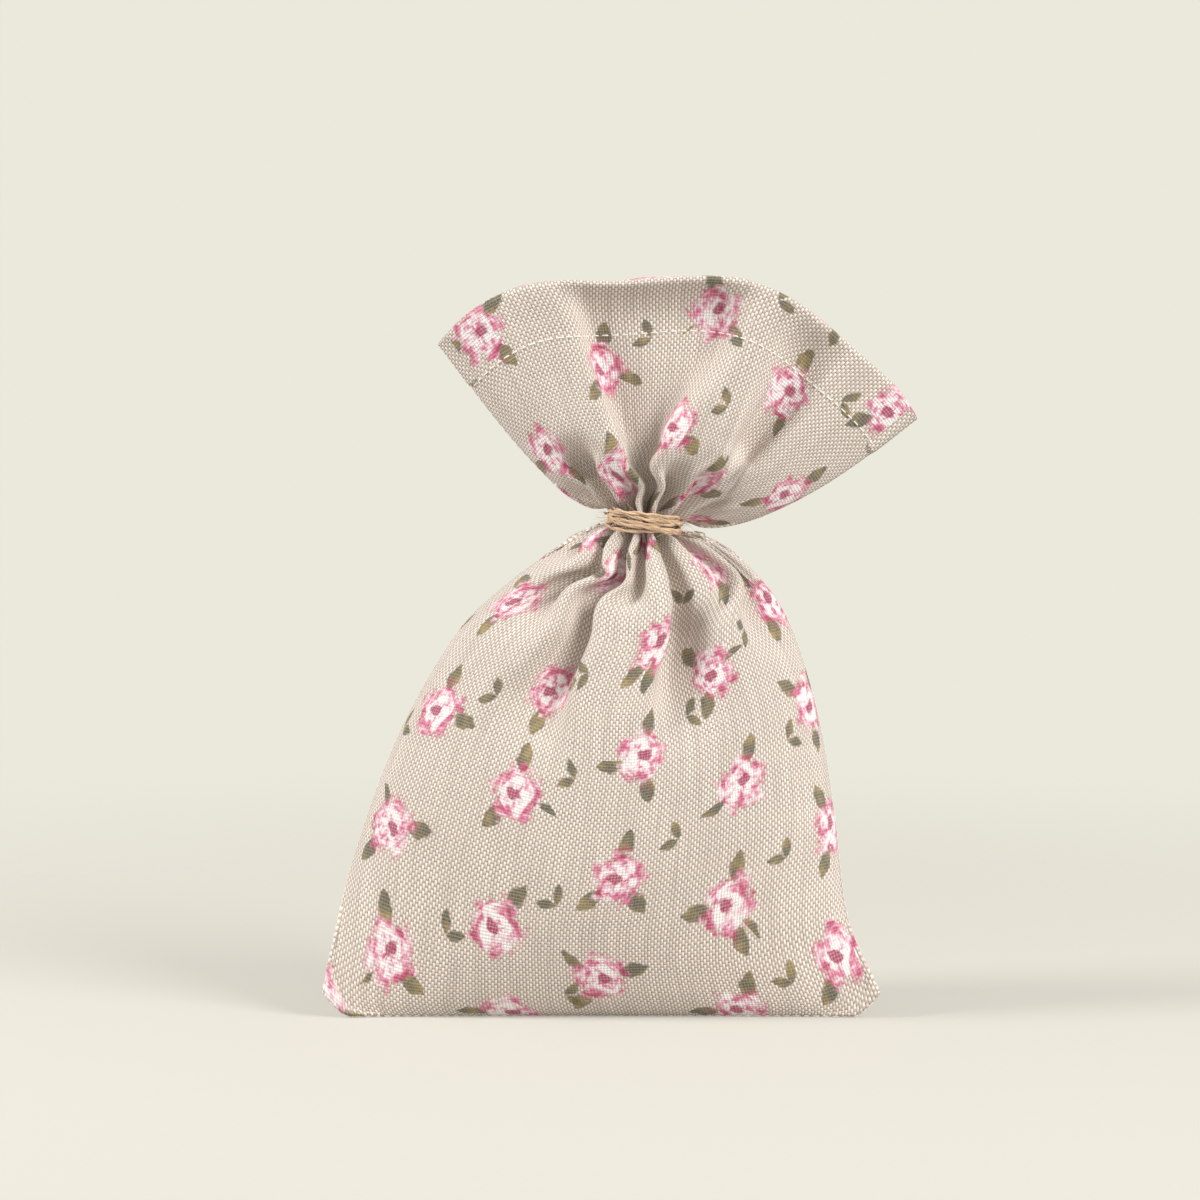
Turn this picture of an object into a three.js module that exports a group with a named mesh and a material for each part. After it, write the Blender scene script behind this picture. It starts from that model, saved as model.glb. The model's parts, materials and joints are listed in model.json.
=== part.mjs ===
// A small woven fabric pouch, filled, gathered at the neck and tied shut with wound jute twine.
// Millimetres, +Z up, +X to the right of the front, -Y towards the front.
// The origin is on the floor, under the middle of the pouch's box.
import * as THREE from "three";

// Driving dimensions: the cloth and the sewing
const CLOTH = 0.8; // thickness of one layer of canvas
const FIT = 0.3; // clearance between pieces that touch
const THREAD = 0.5; // diameter of the sewing thread
const SEAM_ALLOWANCE = 3; // width of the doubled cloth inside a side seam
const SEAM_FADE = 7; // how soon a side seam's allowance ends inwards, as an odd power
const HEM_DEPTH = 14; // turned-in hem at the mouth

// Driving dimensions: the filled body
const BODY_WIDTH = 122; // width of the dome at the floor
const DOME_HEIGHT = 119; // height at which the dome would close without a neck
const EAR_REACH = 5.2; // how far each bottom corner stands out past the dome
const EAR_HEIGHT = 6.2; // height of the corner tips above the floor
const EAR_FADE_DOWN = 4.8; // height over which a corner fades towards the floor
const EAR_FADE_UP = 10; // height over which a corner fades up the side
const BASE_DEPTH = 26; // depth of the face that rests on the floor
const BODY_DEPTH = 44; // greatest depth of the filled body
const BULGE_HEIGHT = 40; // height of the greatest depth
const SEAM_LEVEL = 48; // height at which the side seams reach the middle of the body's depth
const NECK_HEIGHT = 116.8; // height of the middle of the tie
const NECK_SHIFT = 10.3; // how far the neck sits to the right of the base
const NECK_RADIUS = 8; // radius of the bunched cloth under the twine
const NECK_BLEND = 6; // height over which the dome draws in to the neck
const FILL_HEIGHT = 92; // height of the top of the filling
const FOLD_DEPTH = 0.42; // depth of a fold, as a share of the panel's depth
const FOLD_WIDTH = 0.1; // half width of a fold, as a share of the panel's half width
const FOLD_REACH = 56; // how far the longest folds run down from the body's rim
const FRONT_FOLDS = [
  { at: -0.46, reach: 0.55 },
  { at: -0.22, reach: 1 },
  { at: 0.2, reach: 1 },
  { at: 0.5, reach: 0.5 },
];
const BACK_FOLDS = [
  { at: -0.34, reach: 0.8 },
  { at: 0, reach: 1 },
  { at: 0.42, reach: 0.8 },
];

// Driving dimensions: the collar above the tie
const COLLAR_TILT = 9; // lean of the neck to the right, in degrees
const COLLAR_HEIGHT = 54; // from the top of the tie to the mouth, at the middle of a lip
const COLLAR_SEAM = 61; // the same along a side seam, which no folds shorten
const COLLAR_START = 8; // cloth above the tie that stays bunched with the neck
const FAN_ANGLE = 55; // lean of the side seams out from the collar's middle, in degrees
const FAN_BOW = 30; // half of the turn that a side seam makes on its way up, in degrees
const COLLAR_SPREAD = 26; // cloth over which the bunched neck opens into the lips
const LOBE_DEPTH = 10.5; // how far the deepest lobes of the lips stand out
const FRONT_LOBES = [
  { at: -0.55, depth: 0.9, width: 0.32 },
  { at: 0.24, depth: 1, width: 0.17 },
  { at: 0.7, depth: 0.62, width: 0.2 },
];
const BACK_LOBES = [
  { at: -0.78, depth: 0.55, width: 0.16 },
  { at: -0.24, depth: 1, width: 0.19 },
  { at: 0.24, depth: 1, width: 0.19 },
  { at: 0.78, depth: 0.55, width: 0.16 },
];
const LOBE_TOP = 0.75; // share of a lobe's depth that is left at the mouth

// Driving dimensions: the twine
const TWINE = 1.25; // diameter
const TWINE_TURNS = 3;
const TURN_GAP = 0.43; // clearance between neighbouring turns
const KNOT_WIDTH = 4.2;
const KNOT_DEPTH = 3.4;
const KNOT_HEIGHT = 5;
const END_SHARE = 0.35; // where the twine's ends meet the knot, as a share of the winding's half height
const TAIL_LENGTH = 9; // trimmed twine past the knot
const TAIL_DROP = 1.5; // how far a tail's tip hangs below its root
const TAIL_BACK = 1.5; // how far a tail's tip stands behind its root

// How finely the forms are faceted
const PANEL_COLUMNS = 32;
const BASE_ROWS = 2;
const WALL_ROWS = 15;
const ROW_CROWDING = 1.03; // above 1, rows lie closer together near the floor
const LIP_ROWS = 14;
const NECK_ROWS = 5;
const THREAD_SIDES = 5;
const TWINE_SIDES = 6;
const TURN_STEPS = 24;

// Sizes that follow from the ones above
const HALF_SEAM = THREAD / 2 + FIT; // from the seam's middle to a panel's edge
const SEAM_TUCK = 2 * (CLOTH + FIT); // how far the front panel reaches forward of the bottom seam
const TURN_PITCH = TWINE + TURN_GAP;
const TIE_HALF = (TWINE_TURNS * TURN_PITCH + TWINE) / 2; // half the height that the winding takes
const COIL_RADIUS = NECK_RADIUS + FIT + TWINE / 2; // from the neck's axis to the middle of the twine
const KNOT_OUT = COIL_RADIUS + TWINE / 2 + FIT + KNOT_DEPTH / 2; // from the neck's axis to the knot
const NECK_FOOT = NECK_HEIGHT - TIE_HALF; // where the bunched cloth meets the twine
const BODY_RIM = NECK_FOOT - NECK_BLEND; // top edge of the body panels
const FRONT = -1;
const BACK = 1;

const clothMaterial = new THREE.MeshStandardMaterial({ color: 0xd4c5b6, roughness: 0.92, metalness: 0 });
const threadMaterial = new THREE.MeshStandardMaterial({ color: 0xe9e2d6, roughness: 0.8, metalness: 0 });
const twineMaterial = new THREE.MeshStandardMaterial({ color: 0xb7977e, roughness: 0.95, metalness: 0 });
const fillMaterial = new THREE.MeshStandardMaterial({ color: 0x8a7fa0, roughness: 1, metalness: 0 });

const { degToRad, lerp, smoothstep } = THREE.MathUtils;
const steps = (count, low, high) => Array.from({ length: count + 1 }, (_, i) => lerp(low, high, i / count));

// Builds a closed geometry from triangles, leaving out those that have shrunk to a line.
function solidFrom(triangles) {
  const whole = triangles.filter(
    ([a, b, c]) => a.distanceTo(b) > 1e-6 && b.distanceTo(c) > 1e-6 && c.distanceTo(a) > 1e-6,
  );
  const volume = whole.reduce((sum, [a, b, c]) => sum + a.dot(b.clone().cross(c)), 0);
  const facingOut = volume < 0 ? whole.map(([a, b, c]) => [a, c, b]) : whole;
  return new THREE.BufferGeometry().setFromPoints(facingOut.flat());
}

// The body between two grids of points with one layout: both faces and the strips that join their edges.
function solidBetween(outer, inner) {
  const rows = outer.length - 1;
  const columns = outer[0].length - 1;
  const triangles = [];
  const quad = (a, b, c, d) => triangles.push([a, b, c], [a, c, d]);
  for (let r = 0; r < rows; r++) {
    for (let c = 0; c < columns; c++) {
      quad(outer[r][c], outer[r][c + 1], outer[r + 1][c + 1], outer[r + 1][c]);
      quad(inner[r][c], inner[r + 1][c], inner[r + 1][c + 1], inner[r][c + 1]);
    }
    quad(outer[r][0], outer[r + 1][0], inner[r + 1][0], inner[r][0]);
    quad(outer[r + 1][columns], outer[r][columns], inner[r][columns], inner[r + 1][columns]);
  }
  for (let c = 0; c < columns; c++) {
    quad(outer[0][c + 1], outer[0][c], inner[0][c], inner[0][c + 1]);
    quad(outer[rows][c], outer[rows][c + 1], inner[rows][c + 1], inner[rows][c]);
  }
  return solidFrom(triangles);
}

// A round tube along a list of points.
function tubeAlong(points, diameter, sides, stepCount) {
  const section = new THREE.Shape(
    steps(sides, 0, 2 * Math.PI)
      .slice(0, -1)
      .map((angle) => new THREE.Vector2(Math.cos(angle), Math.sin(angle)).multiplyScalar(diameter / 2)),
  );
  const path = new THREE.CatmullRomCurve3(points);
  return new THREE.ExtrudeGeometry(section, { steps: stepCount, extrudePath: path, curveSegments: 1 });
}

// The body's outline at a height: its middle, half width, half depth and how pointed its sides are.
// The bottom seam lies along the front edge of the underside, so the side seams start there too.
function bodySection(z) {
  const fade = z < EAR_HEIGHT ? EAR_FADE_DOWN : EAR_FADE_UP;
  const ear = EAR_REACH * Math.exp(-(((z - EAR_HEIGHT) / fade) ** 2));
  const dome = (BODY_WIDTH / 2) * Math.sqrt(Math.max(0, 1 - (z / DOME_HEIGHT) ** 2));
  const drawIn = smoothstep(z, NECK_FOOT - NECK_BLEND, NECK_FOOT);
  const swell = Math.sin((Math.min(1, z / BULGE_HEIGHT) * Math.PI) / 2);
  const closing = Math.max(0, z - BULGE_HEIGHT) / (DOME_HEIGHT - BULGE_HEIGHT);
  const belly = (lerp(BASE_DEPTH, BODY_DEPTH, swell) / 2) * Math.sqrt(Math.max(0, 1 - closing ** 2));
  return {
    middle: NECK_SHIFT * (z / NECK_HEIGHT) ** 2.6,
    seamY: (SEAM_TUCK - BASE_DEPTH / 2) * (1 - smoothstep(z, 0, SEAM_LEVEL)),
    halfWidth: lerp(dome + ear, NECK_RADIUS, drawIn),
    halfDepth: lerp(belly, NECK_RADIUS, drawIn),
    power: lerp(0.9, 0.5, smoothstep(z, 0, 0.55 * DOME_HEIGHT)),
    gathered: 1 - drawIn,
  };
}

// The share of a panel's depth that its folds leave. They run down from the neck and fade out on the belly.
function foldedShare(side, across, z) {
  const folds = side === FRONT ? FRONT_FOLDS : BACK_FOLDS;
  const sunk = folds.map(({ at, reach }) => {
    const length = reach * FOLD_REACH;
    const begun = smoothstep(z, BODY_RIM - length, BODY_RIM - length / 2);
    return begun * Math.exp(-(((across - at) / FOLD_WIDTH) ** 2));
  });
  return 1 - FOLD_DEPTH * sunk.reduce((sum, one) => sum + one, 0);
}

// A point of the body's wall. Across runs from -1 at the left seam to 1 at the right one.
function bodyPoint(side, across, z, { seam, sideInset = 0, depthInset = 0, depthShare = 1 }) {
  const { middle, seamY, halfWidth, halfDepth, power, gathered } = bodySection(z);
  const reach = Math.sin((across * Math.PI) / 2);
  const crown = Math.abs(across) === 1 ? 0 : (1 - reach ** 2) ** power;
  const folds = lerp(1, foldedShare(side, across, z), gathered);
  const depth = (halfDepth - side * seamY - depthInset) * crown * folds * depthShare;
  const wide = halfWidth * reach - sideInset * reach ** SEAM_FADE;
  return new THREE.Vector3(middle + wide, seamY + side * (seam + depth), z);
}

// A grid over one side of the body: across the underside from the bottom seam, then up the wall.
function bodyGrid(side, floor, top, insets) {
  const columns = steps(PANEL_COLUMNS, -1, 1);
  const underside = steps(BASE_ROWS, 0, 1).slice(0, -1);
  const heights = steps(WALL_ROWS, 0, 1).map((share) => Math.max(floor, BODY_RIM * share ** ROW_CROWDING));
  const wall = [...heights.filter((z) => z < top - CLOTH), top];
  return [
    ...underside.map((depthShare) => columns.map((s) => bodyPoint(side, s, floor, { ...insets, depthShare }))),
    ...wall.map((z) => columns.map((s) => bodyPoint(side, s, z, insets))),
  ];
}

function bodyPanel(side) {
  const outer = bodyGrid(side, 0, BODY_RIM, { seam: HALF_SEAM });
  const insets = { seam: HALF_SEAM, sideInset: SEAM_ALLOWANCE, depthInset: CLOTH };
  return solidBetween(outer, bodyGrid(side, CLOTH, BODY_RIM, insets));
}

// The filling: what the two panels leave free between them, up to the fill height.
function filling() {
  const insets = { seam: 0, sideInset: SEAM_ALLOWANCE + 2 * FIT, depthInset: CLOTH + 2 * FIT };
  const halves = [FRONT, BACK].map((side) => bodyGrid(side, CLOTH + 2 * FIT, FILL_HEIGHT, insets));
  return solidBetween(...halves);
}

// The part's frame and, inside it, the collar's: it sits at the middle of the tie and leans with the neck.
const pouch = new THREE.Group();
const collar = new THREE.Group();
collar.position.set(NECK_SHIFT, 0, NECK_HEIGHT);
collar.rotation.y = degToRad(COLLAR_TILT);
collar.updateMatrix();
pouch.add(collar);

// How far a lip stands out from the collar's middle plane, at a height along the cloth.
function lipDepth(side, across, along) {
  const lobes = side === FRONT ? FRONT_LOBES : BACK_LOBES;
  const spread = smoothstep(along, 0, COLLAR_SPREAD);
  const bunched = NECK_RADIUS * Math.cos((across * Math.PI) / 2) * (1 - spread);
  const opened = lobes.reduce((sum, l) => sum + l.depth * Math.exp(-(((across - l.at) / l.width) ** 2)), 0);
  const depth = LOBE_DEPTH * opened * spread;
  const top = lerp(1, LOBE_TOP, along / COLLAR_HEIGHT);
  return Math.abs(across) === 1 ? 0 : bunched + depth * top * (1 - across ** 8);
}

// A point of a lip in the collar's frame. Each line of cloth leaves the tie on an arc of the fan.
function lipPoint(side, across, along, standOff) {
  const length = lerp(COLLAR_HEIGHT, COLLAR_SEAM, across ** 2);
  const start = across * degToRad(FAN_ANGLE + FAN_BOW);
  const turn = (across * 2 * degToRad(FAN_BOW)) / length;
  const end = start - (turn * along * length) / COLLAR_HEIGHT;
  const straight = Math.abs(across) < 1e-6;
  const out = straight ? 0 : (Math.cos(end) - Math.cos(start)) / turn;
  const up = straight ? along : (Math.sin(start) - Math.sin(end)) / turn;
  const root = NECK_RADIUS * Math.sin((across * Math.PI) / 2);
  return new THREE.Vector3(root + out, side * (standOff + lipDepth(side, across, along)), TIE_HALF + up);
}

// One lip of the mouth: a single layer of cloth, doubled inwards at the hem.
function lip(side) {
  const columns = steps(PANEL_COLUMNS, -1, 1);
  const hemStart = COLLAR_HEIGHT - HEM_DEPTH;
  const hemRows = Math.max(2, Math.round((LIP_ROWS * HEM_DEPTH) / COLLAR_HEIGHT));
  const rows = [
    ...steps(LIP_ROWS - hemRows, COLLAR_START, hemStart - FIT),
    ...steps(hemRows, hemStart, COLLAR_HEIGHT),
  ];
  const face = (offset) => rows.map((t) => columns.map((s) => lipPoint(side, s, t, offset(t))));
  const outer = face(() => HALF_SEAM + 2 * CLOTH);
  return solidBetween(outer, face((t) => (t < hemStart ? HALF_SEAM + CLOTH : HALF_SEAM)));
}

// The bunched cloth of both panels: from the body's rim, through the twine, into the foot of the collar.
function neckGather() {
  const columns = steps(PANEL_COLUMNS, -1, 1);
  const toCollar = collar.matrix.clone().invert();
  const halves = [FRONT, BACK].map((side) => {
    const round = (s, up) =>
      new THREE.Vector3(
        NECK_RADIUS * Math.sin((s * Math.PI) / 2),
        Math.abs(s) === 1 ? 0 : side * NECK_RADIUS * Math.cos((s * Math.PI) / 2),
        up,
      );
    const shoulder = steps(NECK_ROWS, BODY_RIM + FIT, NECK_FOOT).slice(0, -1);
    const foot = steps(NECK_ROWS, 0, COLLAR_START - FIT).slice(1);
    return [
      ...shoulder.map((z, i) => {
        const lean = i / NECK_ROWS;
        return columns.map((s) => {
          const low = bodyPoint(side, s, z, { seam: 0 }).applyMatrix4(toCollar);
          const level = new THREE.Vector3(low.x, low.y, z - NECK_HEIGHT);
          return low.lerp(level, lean);
        });
      }),
      ...[-TIE_HALF, 0, TIE_HALF].map((up) => columns.map((s) => round(s, up))),
      ...foot.map((t) => columns.map((s) => lipPoint(side, s, t, 0))),
    ];
  });
  return solidBetween(...halves);
}

// The twine's middle line: turns round the neck whose two ends rise over the winding into the knot.
function twineRoute() {
  const endGap = KNOT_WIDTH / 2 + FIT + TWINE;
  const raised = Math.hypot(KNOT_OUT, endGap);
  const endAngle = Math.asin(endGap / raised);
  const first = Math.PI / 2 + endAngle;
  const last = Math.PI / 2 + 2 * Math.PI * TWINE_TURNS - endAngle;
  const climb = TWINE_TURNS * TURN_PITCH;
  const turns = steps(TWINE_TURNS * TURN_STEPS, first, last).map((angle) => {
    const fromEnd = Math.min(angle - first, last - angle);
    const lift = 1 - smoothstep(fromEnd, Math.PI / 6, Math.PI / 2);
    const slide = 1 - smoothstep(fromEnd, 0, Math.PI / 4);
    const up = climb * ((angle - first) / (last - first) - 0.5) * lerp(1, END_SHARE, slide);
    const radius = lerp(COIL_RADIUS, raised, lift);
    return new THREE.Vector3(radius * Math.cos(angle), radius * Math.sin(angle), up);
  });
  const straight = (end) => new THREE.Vector3(end.x - Math.sign(end.x) * TWINE, end.y, end.z);
  return [straight(turns[0]), ...turns, straight(turns.at(-1))];
}

// The least clearance between parts of a tube that aren't neighbours along it.
function leastGap(route, diameter) {
  const points = new THREE.CatmullRomCurve3(route).getPoints(8 * route.length);
  let least = Infinity;
  points.forEach((p, i) =>
    points.slice(i + 4 * TURN_STEPS).forEach((q) => {
      least = Math.min(least, p.distanceTo(q) - diameter);
    }),
  );
  return least;
}

// The knot: a rounded lump of drawn-up twine behind the winding.
function knot() {
  const lump = new THREE.SphereGeometry(0.5, 14, 10);
  lump.deleteAttribute("normal");
  lump.deleteAttribute("uv");
  return lump.scale(KNOT_WIDTH, KNOT_DEPTH, KNOT_HEIGHT);
}

function addPiece(group, name, geometry, material) {
  const mesh = new THREE.Mesh(geometry, material);
  mesh.name = name;
  group.add(mesh);
  return mesh;
}

// The body
addPiece(pouch, "front_panel", bodyPanel(FRONT), clothMaterial);
addPiece(pouch, "back_panel", bodyPanel(BACK), clothMaterial);
addPiece(pouch, "filling", filling(), fillMaterial);

const sewnTop = BODY_RIM - 2 * CLOTH;
for (const [name, across] of [
  ["left_seam_thread", -1],
  ["right_seam_thread", 1],
]) {
  const seam = steps(12, EAR_HEIGHT, sewnTop).map((z) => {
    const { middle, seamY, halfWidth } = bodySection(z);
    return new THREE.Vector3(middle + across * (halfWidth - SEAM_ALLOWANCE / 2), seamY, z);
  });
  addPiece(pouch, name, tubeAlong(seam, THREAD, THREAD_SIDES, 24), threadMaterial);
}
const base = bodySection(0);
const bottomSeam = steps(8, -1, 1).map(
  (share) => new THREE.Vector3(share * (base.halfWidth - SEAM_ALLOWANCE), base.seamY, CLOTH / 2),
);
addPiece(pouch, "bottom_seam_thread", tubeAlong(bottomSeam, THREAD, THREAD_SIDES, 16), threadMaterial);

// The neck and its tie
addPiece(collar, "neck_gather", neckGather(), clothMaterial);
const route = twineRoute();
console.log(`twine_wrap: least gap to itself ${leastGap(route, TWINE).toFixed(2)} mm`);
addPiece(collar, "twine_wrap", tubeAlong(route, TWINE, TWINE_SIDES, route.length - 1), twineMaterial);
addPiece(collar, "twine_knot", knot(), twineMaterial).position.set(0, KNOT_OUT, 0);
for (const [name, hand] of [
  ["twine_tail_left", -1],
  ["twine_tail_right", 1],
]) {
  const root = new THREE.Vector3(hand * (TWINE / 2 + FIT), KNOT_OUT + KNOT_DEPTH / 2 + FIT + TWINE / 2, 0);
  const tail = steps(4, 0, 1).map((share) =>
    root.clone().add(new THREE.Vector3(hand * TAIL_LENGTH * share, TAIL_BACK * share ** 2, -TAIL_DROP * share ** 2)),
  );
  addPiece(collar, name, tubeAlong(tail, TWINE, TWINE_SIDES, 6), twineMaterial);
}

// The lips of the mouth and their sewing
addPiece(collar, "front_lip", lip(FRONT), clothMaterial);
addPiece(collar, "back_lip", lip(BACK), clothMaterial);
for (const [name, side] of [
  ["front_hem_thread", FRONT],
  ["back_hem_thread", BACK],
]) {
  const standOff = HALF_SEAM + 2 * CLOTH + FIT + THREAD / 2;
  const stitches = steps(40, -0.94, 0.94).map((s) => lipPoint(side, s, COLLAR_HEIGHT - HEM_DEPTH, standOff));
  addPiece(collar, name, tubeAlong(stitches, THREAD, THREAD_SIDES, 60), threadMaterial);
}
for (const [name, across] of [
  ["left_lip_seam_thread", -0.98],
  ["right_lip_seam_thread", 0.98],
]) {
  const seam = steps(8, COLLAR_START, COLLAR_HEIGHT - CLOTH).map((t) => {
    const { x, z } = lipPoint(FRONT, across, t, 0);
    return new THREE.Vector3(x, 0, z);
  });
  addPiece(collar, name, tubeAlong(seam, THREAD, THREAD_SIDES, 16), threadMaterial);
}

// Stand the pouch on the floor, with the origin under the middle of its box.
const box = new THREE.Box3().setFromObject(pouch, true);
const middle = box.getCenter(new THREE.Vector3());
pouch.position.set(-middle.x, -middle.y, -box.min.z);

export default pouch;
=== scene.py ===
"""Looks of a fabric pouch: printed canvas gathered at the neck and wound with jute twine.

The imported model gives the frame: where the neck is, how the collar tilts and what moves. Lengths are in
millimetres in that frame, with +Z up and the front of the pouch towards -Y, and become metres in the meshes.
"""

from __future__ import annotations

import json
import logging
import math
from collections.abc import Sequence
from dataclasses import dataclass, field
from enum import Enum

import bpy
import numpy as np
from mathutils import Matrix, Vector

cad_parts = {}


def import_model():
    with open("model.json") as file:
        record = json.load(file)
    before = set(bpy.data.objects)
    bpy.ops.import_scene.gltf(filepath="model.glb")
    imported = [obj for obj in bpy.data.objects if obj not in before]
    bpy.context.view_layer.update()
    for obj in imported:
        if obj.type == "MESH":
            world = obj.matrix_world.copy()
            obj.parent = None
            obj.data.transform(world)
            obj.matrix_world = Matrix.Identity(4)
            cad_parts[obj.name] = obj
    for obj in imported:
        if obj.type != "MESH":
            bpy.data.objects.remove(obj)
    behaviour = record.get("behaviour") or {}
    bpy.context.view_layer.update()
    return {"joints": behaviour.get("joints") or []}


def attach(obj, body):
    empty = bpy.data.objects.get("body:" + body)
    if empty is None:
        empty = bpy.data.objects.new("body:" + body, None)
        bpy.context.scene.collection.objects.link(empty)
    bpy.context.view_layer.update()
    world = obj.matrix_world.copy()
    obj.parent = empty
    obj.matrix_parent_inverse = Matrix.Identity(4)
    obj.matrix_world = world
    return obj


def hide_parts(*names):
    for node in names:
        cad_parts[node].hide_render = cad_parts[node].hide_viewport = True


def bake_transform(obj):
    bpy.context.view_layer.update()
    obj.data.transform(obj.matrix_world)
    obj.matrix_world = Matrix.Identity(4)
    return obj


MM = 0.001
FLAT = "flat_mm"
STRAND = "strand_mm"

# How finely lines are followed, folds worked out and tubes rounded
LINE_POINTS = 241
PROFILE_POINTS = 400
FAN_STEPS = 40
FOLD_DETAIL = 8
HALVINGS = 24
WINDING_STEPS = 900
KNOT_STEPS = 160
END_STEPS = 60
PLY_SIDES = 9
FIBRE_STEPS = 7
FIBRE_SIDES = 4
STITCH_STEPS = 7
STITCH_SIDES = 7

Array = np.ndarray
Tree = bpy.types.NodeTree
Node = bpy.types.Node
Socket = bpy.types.NodeSocket
Material = bpy.types.Material
Piece = bpy.types.Object
Span = tuple[float, float]
Triple = tuple[float, float, float]
Arrays = tuple[Array, Array, Array]
Inputs = dict[int | str, object]

log = logging.getLogger("pouch")


class Panel(Enum):
    """The two panels of the pouch, by the way they face along Y."""

    FRONT = -1
    BACK = 1


class Reach(Enum):
    """The two ways that a fold runs from the tie."""

    BELOW = "below"
    ABOVE = "above"


def linear(hex_colour: str) -> tuple[float, ...]:
    """Turns an sRGB hex colour into the linear colour that a shader takes, by the sRGB curve.

    Args:
        hex_colour: Six hex digits after a hash sign.

    Returns:
        Red, green and blue from 0 to 1, and full opacity.
    """
    channels = [int(hex_colour[start:start + 2], 16) / 255.0 for start in (1, 3, 5)]
    return (*(c / 12.92 if c <= 0.04045 else ((c + 0.055) / 1.055) ** 2.4 for c in channels), 1.0)


def add(tree: Tree, kind: str, inputs: Inputs | Sequence[object] = (), **settings: object) -> Node:
    """Adds a shader node with its settings and links.

    Args:
        tree: The node tree that takes the node.
        kind: The node's type, without the word ShaderNode in front, and its operation after a colon.
        inputs: What the inputs take, in order or by name: a value, a socket, or a node for its first output.
        **settings: The node's own properties.

    Returns:
        The new node.
    """
    kind, _, operation = kind.partition(":")
    made = tree.nodes.new("ShaderNode" + kind)
    if operation:
        made.operation = operation
    for name, value in settings.items():
        setattr(made, name, value)
    for key, value in inputs.items() if isinstance(inputs, dict) else enumerate(inputs):
        if isinstance(value, Node):
            tree.links.new(value.outputs[0], made.inputs[key])
        elif isinstance(value, Socket):
            tree.links.new(value, made.inputs[key])
        else:
            made.inputs[key].default_value = value
    return made


def start_material(name: str, constants: dict[str, object]) -> tuple[Material, Tree, Node]:
    """Starts a material on a shader with constant values.

    Args:
        name: The material's name.
        constants: The shader's constant values, by the names of its sockets.

    Returns:
        The material, its node tree and its shader.
    """
    material = bpy.data.materials.new(name)
    material.use_nodes = True
    shader = material.node_tree.nodes["Principled BSDF"]
    for socket, value in constants.items():
        shader.inputs[socket].default_value = value
    return material, material.node_tree, shader


def smooth(value: Array | float, low: float, high: float) -> Array:
    """Smooth step from 0 at low to 1 at high.

    Args:
        value: Where to read the step.
        low: Where it starts to rise.
        high: Where it is full.

    Returns:
        The step at each value.
    """
    part = np.clip((np.asarray(value, float) - low) / (high - low), 0.0, 1.0)
    return part * part * (3.0 - 2.0 * part)


def unit(vectors: Array) -> Array:
    """Scales vectors along the last axis to length 1."""
    return vectors / np.maximum(np.linalg.norm(vectors, axis=-1, keepdims=True), 1e-9)


def arc_lengths(points: Array) -> Array:
    """Length along a line of points from its first point to each."""
    return np.concatenate([[0.0], np.cumsum(np.linalg.norm(np.diff(points, axis=0), axis=1))])


def running_sum(values: Array, step: float) -> Array:
    """Running integral of evenly spaced values, from 0."""
    return np.concatenate([[0.0], np.cumsum(0.5 * (values[1:] + values[:-1]) * step)])


def at_lengths(wanted: Array, lengths: Array, values: Array) -> Array:
    """Reads a table of vectors at the wanted lengths.

    Args:
        wanted: Lengths to read at.
        lengths: Length of each row of the table, rising.
        values: The table, one vector a row.

    Returns:
        One vector for each wanted length.
    """
    return np.stack([np.interp(wanted, lengths, column) for column in values.T], axis=1)


def rounded(points: Array, count: int, steps: int = 40) -> Array:
    """Spaces points evenly on a smooth curve through a few given ones.

    Args:
        points: The points that the curve passes through.
        count: How many points to give back.
        steps: How finely each stretch is followed.

    Returns:
        The evenly spaced points, the first and last as given.
    """
    ends = np.concatenate([[2 * points[0] - points[1]], points, [2 * points[-1] - points[-2]]])
    share = np.linspace(0.0, 1.0, steps, endpoint=False)[:, None]
    stretches = []
    for a, b, c, d in zip(ends, ends[1:], ends[2:], ends[3:]):
        square = 2 * a - 5 * b + 4 * c - d
        cube = 3 * b - a - 3 * c + d
        stretches.append(b + 0.5 * ((c - a) * share + square * share**2 + cube * share**3))
    dense = np.concatenate([*stretches, points[-1:]])
    lengths = arc_lengths(dense)
    return at_lengths(np.linspace(0.0, lengths[-1], count), lengths, dense)


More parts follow.
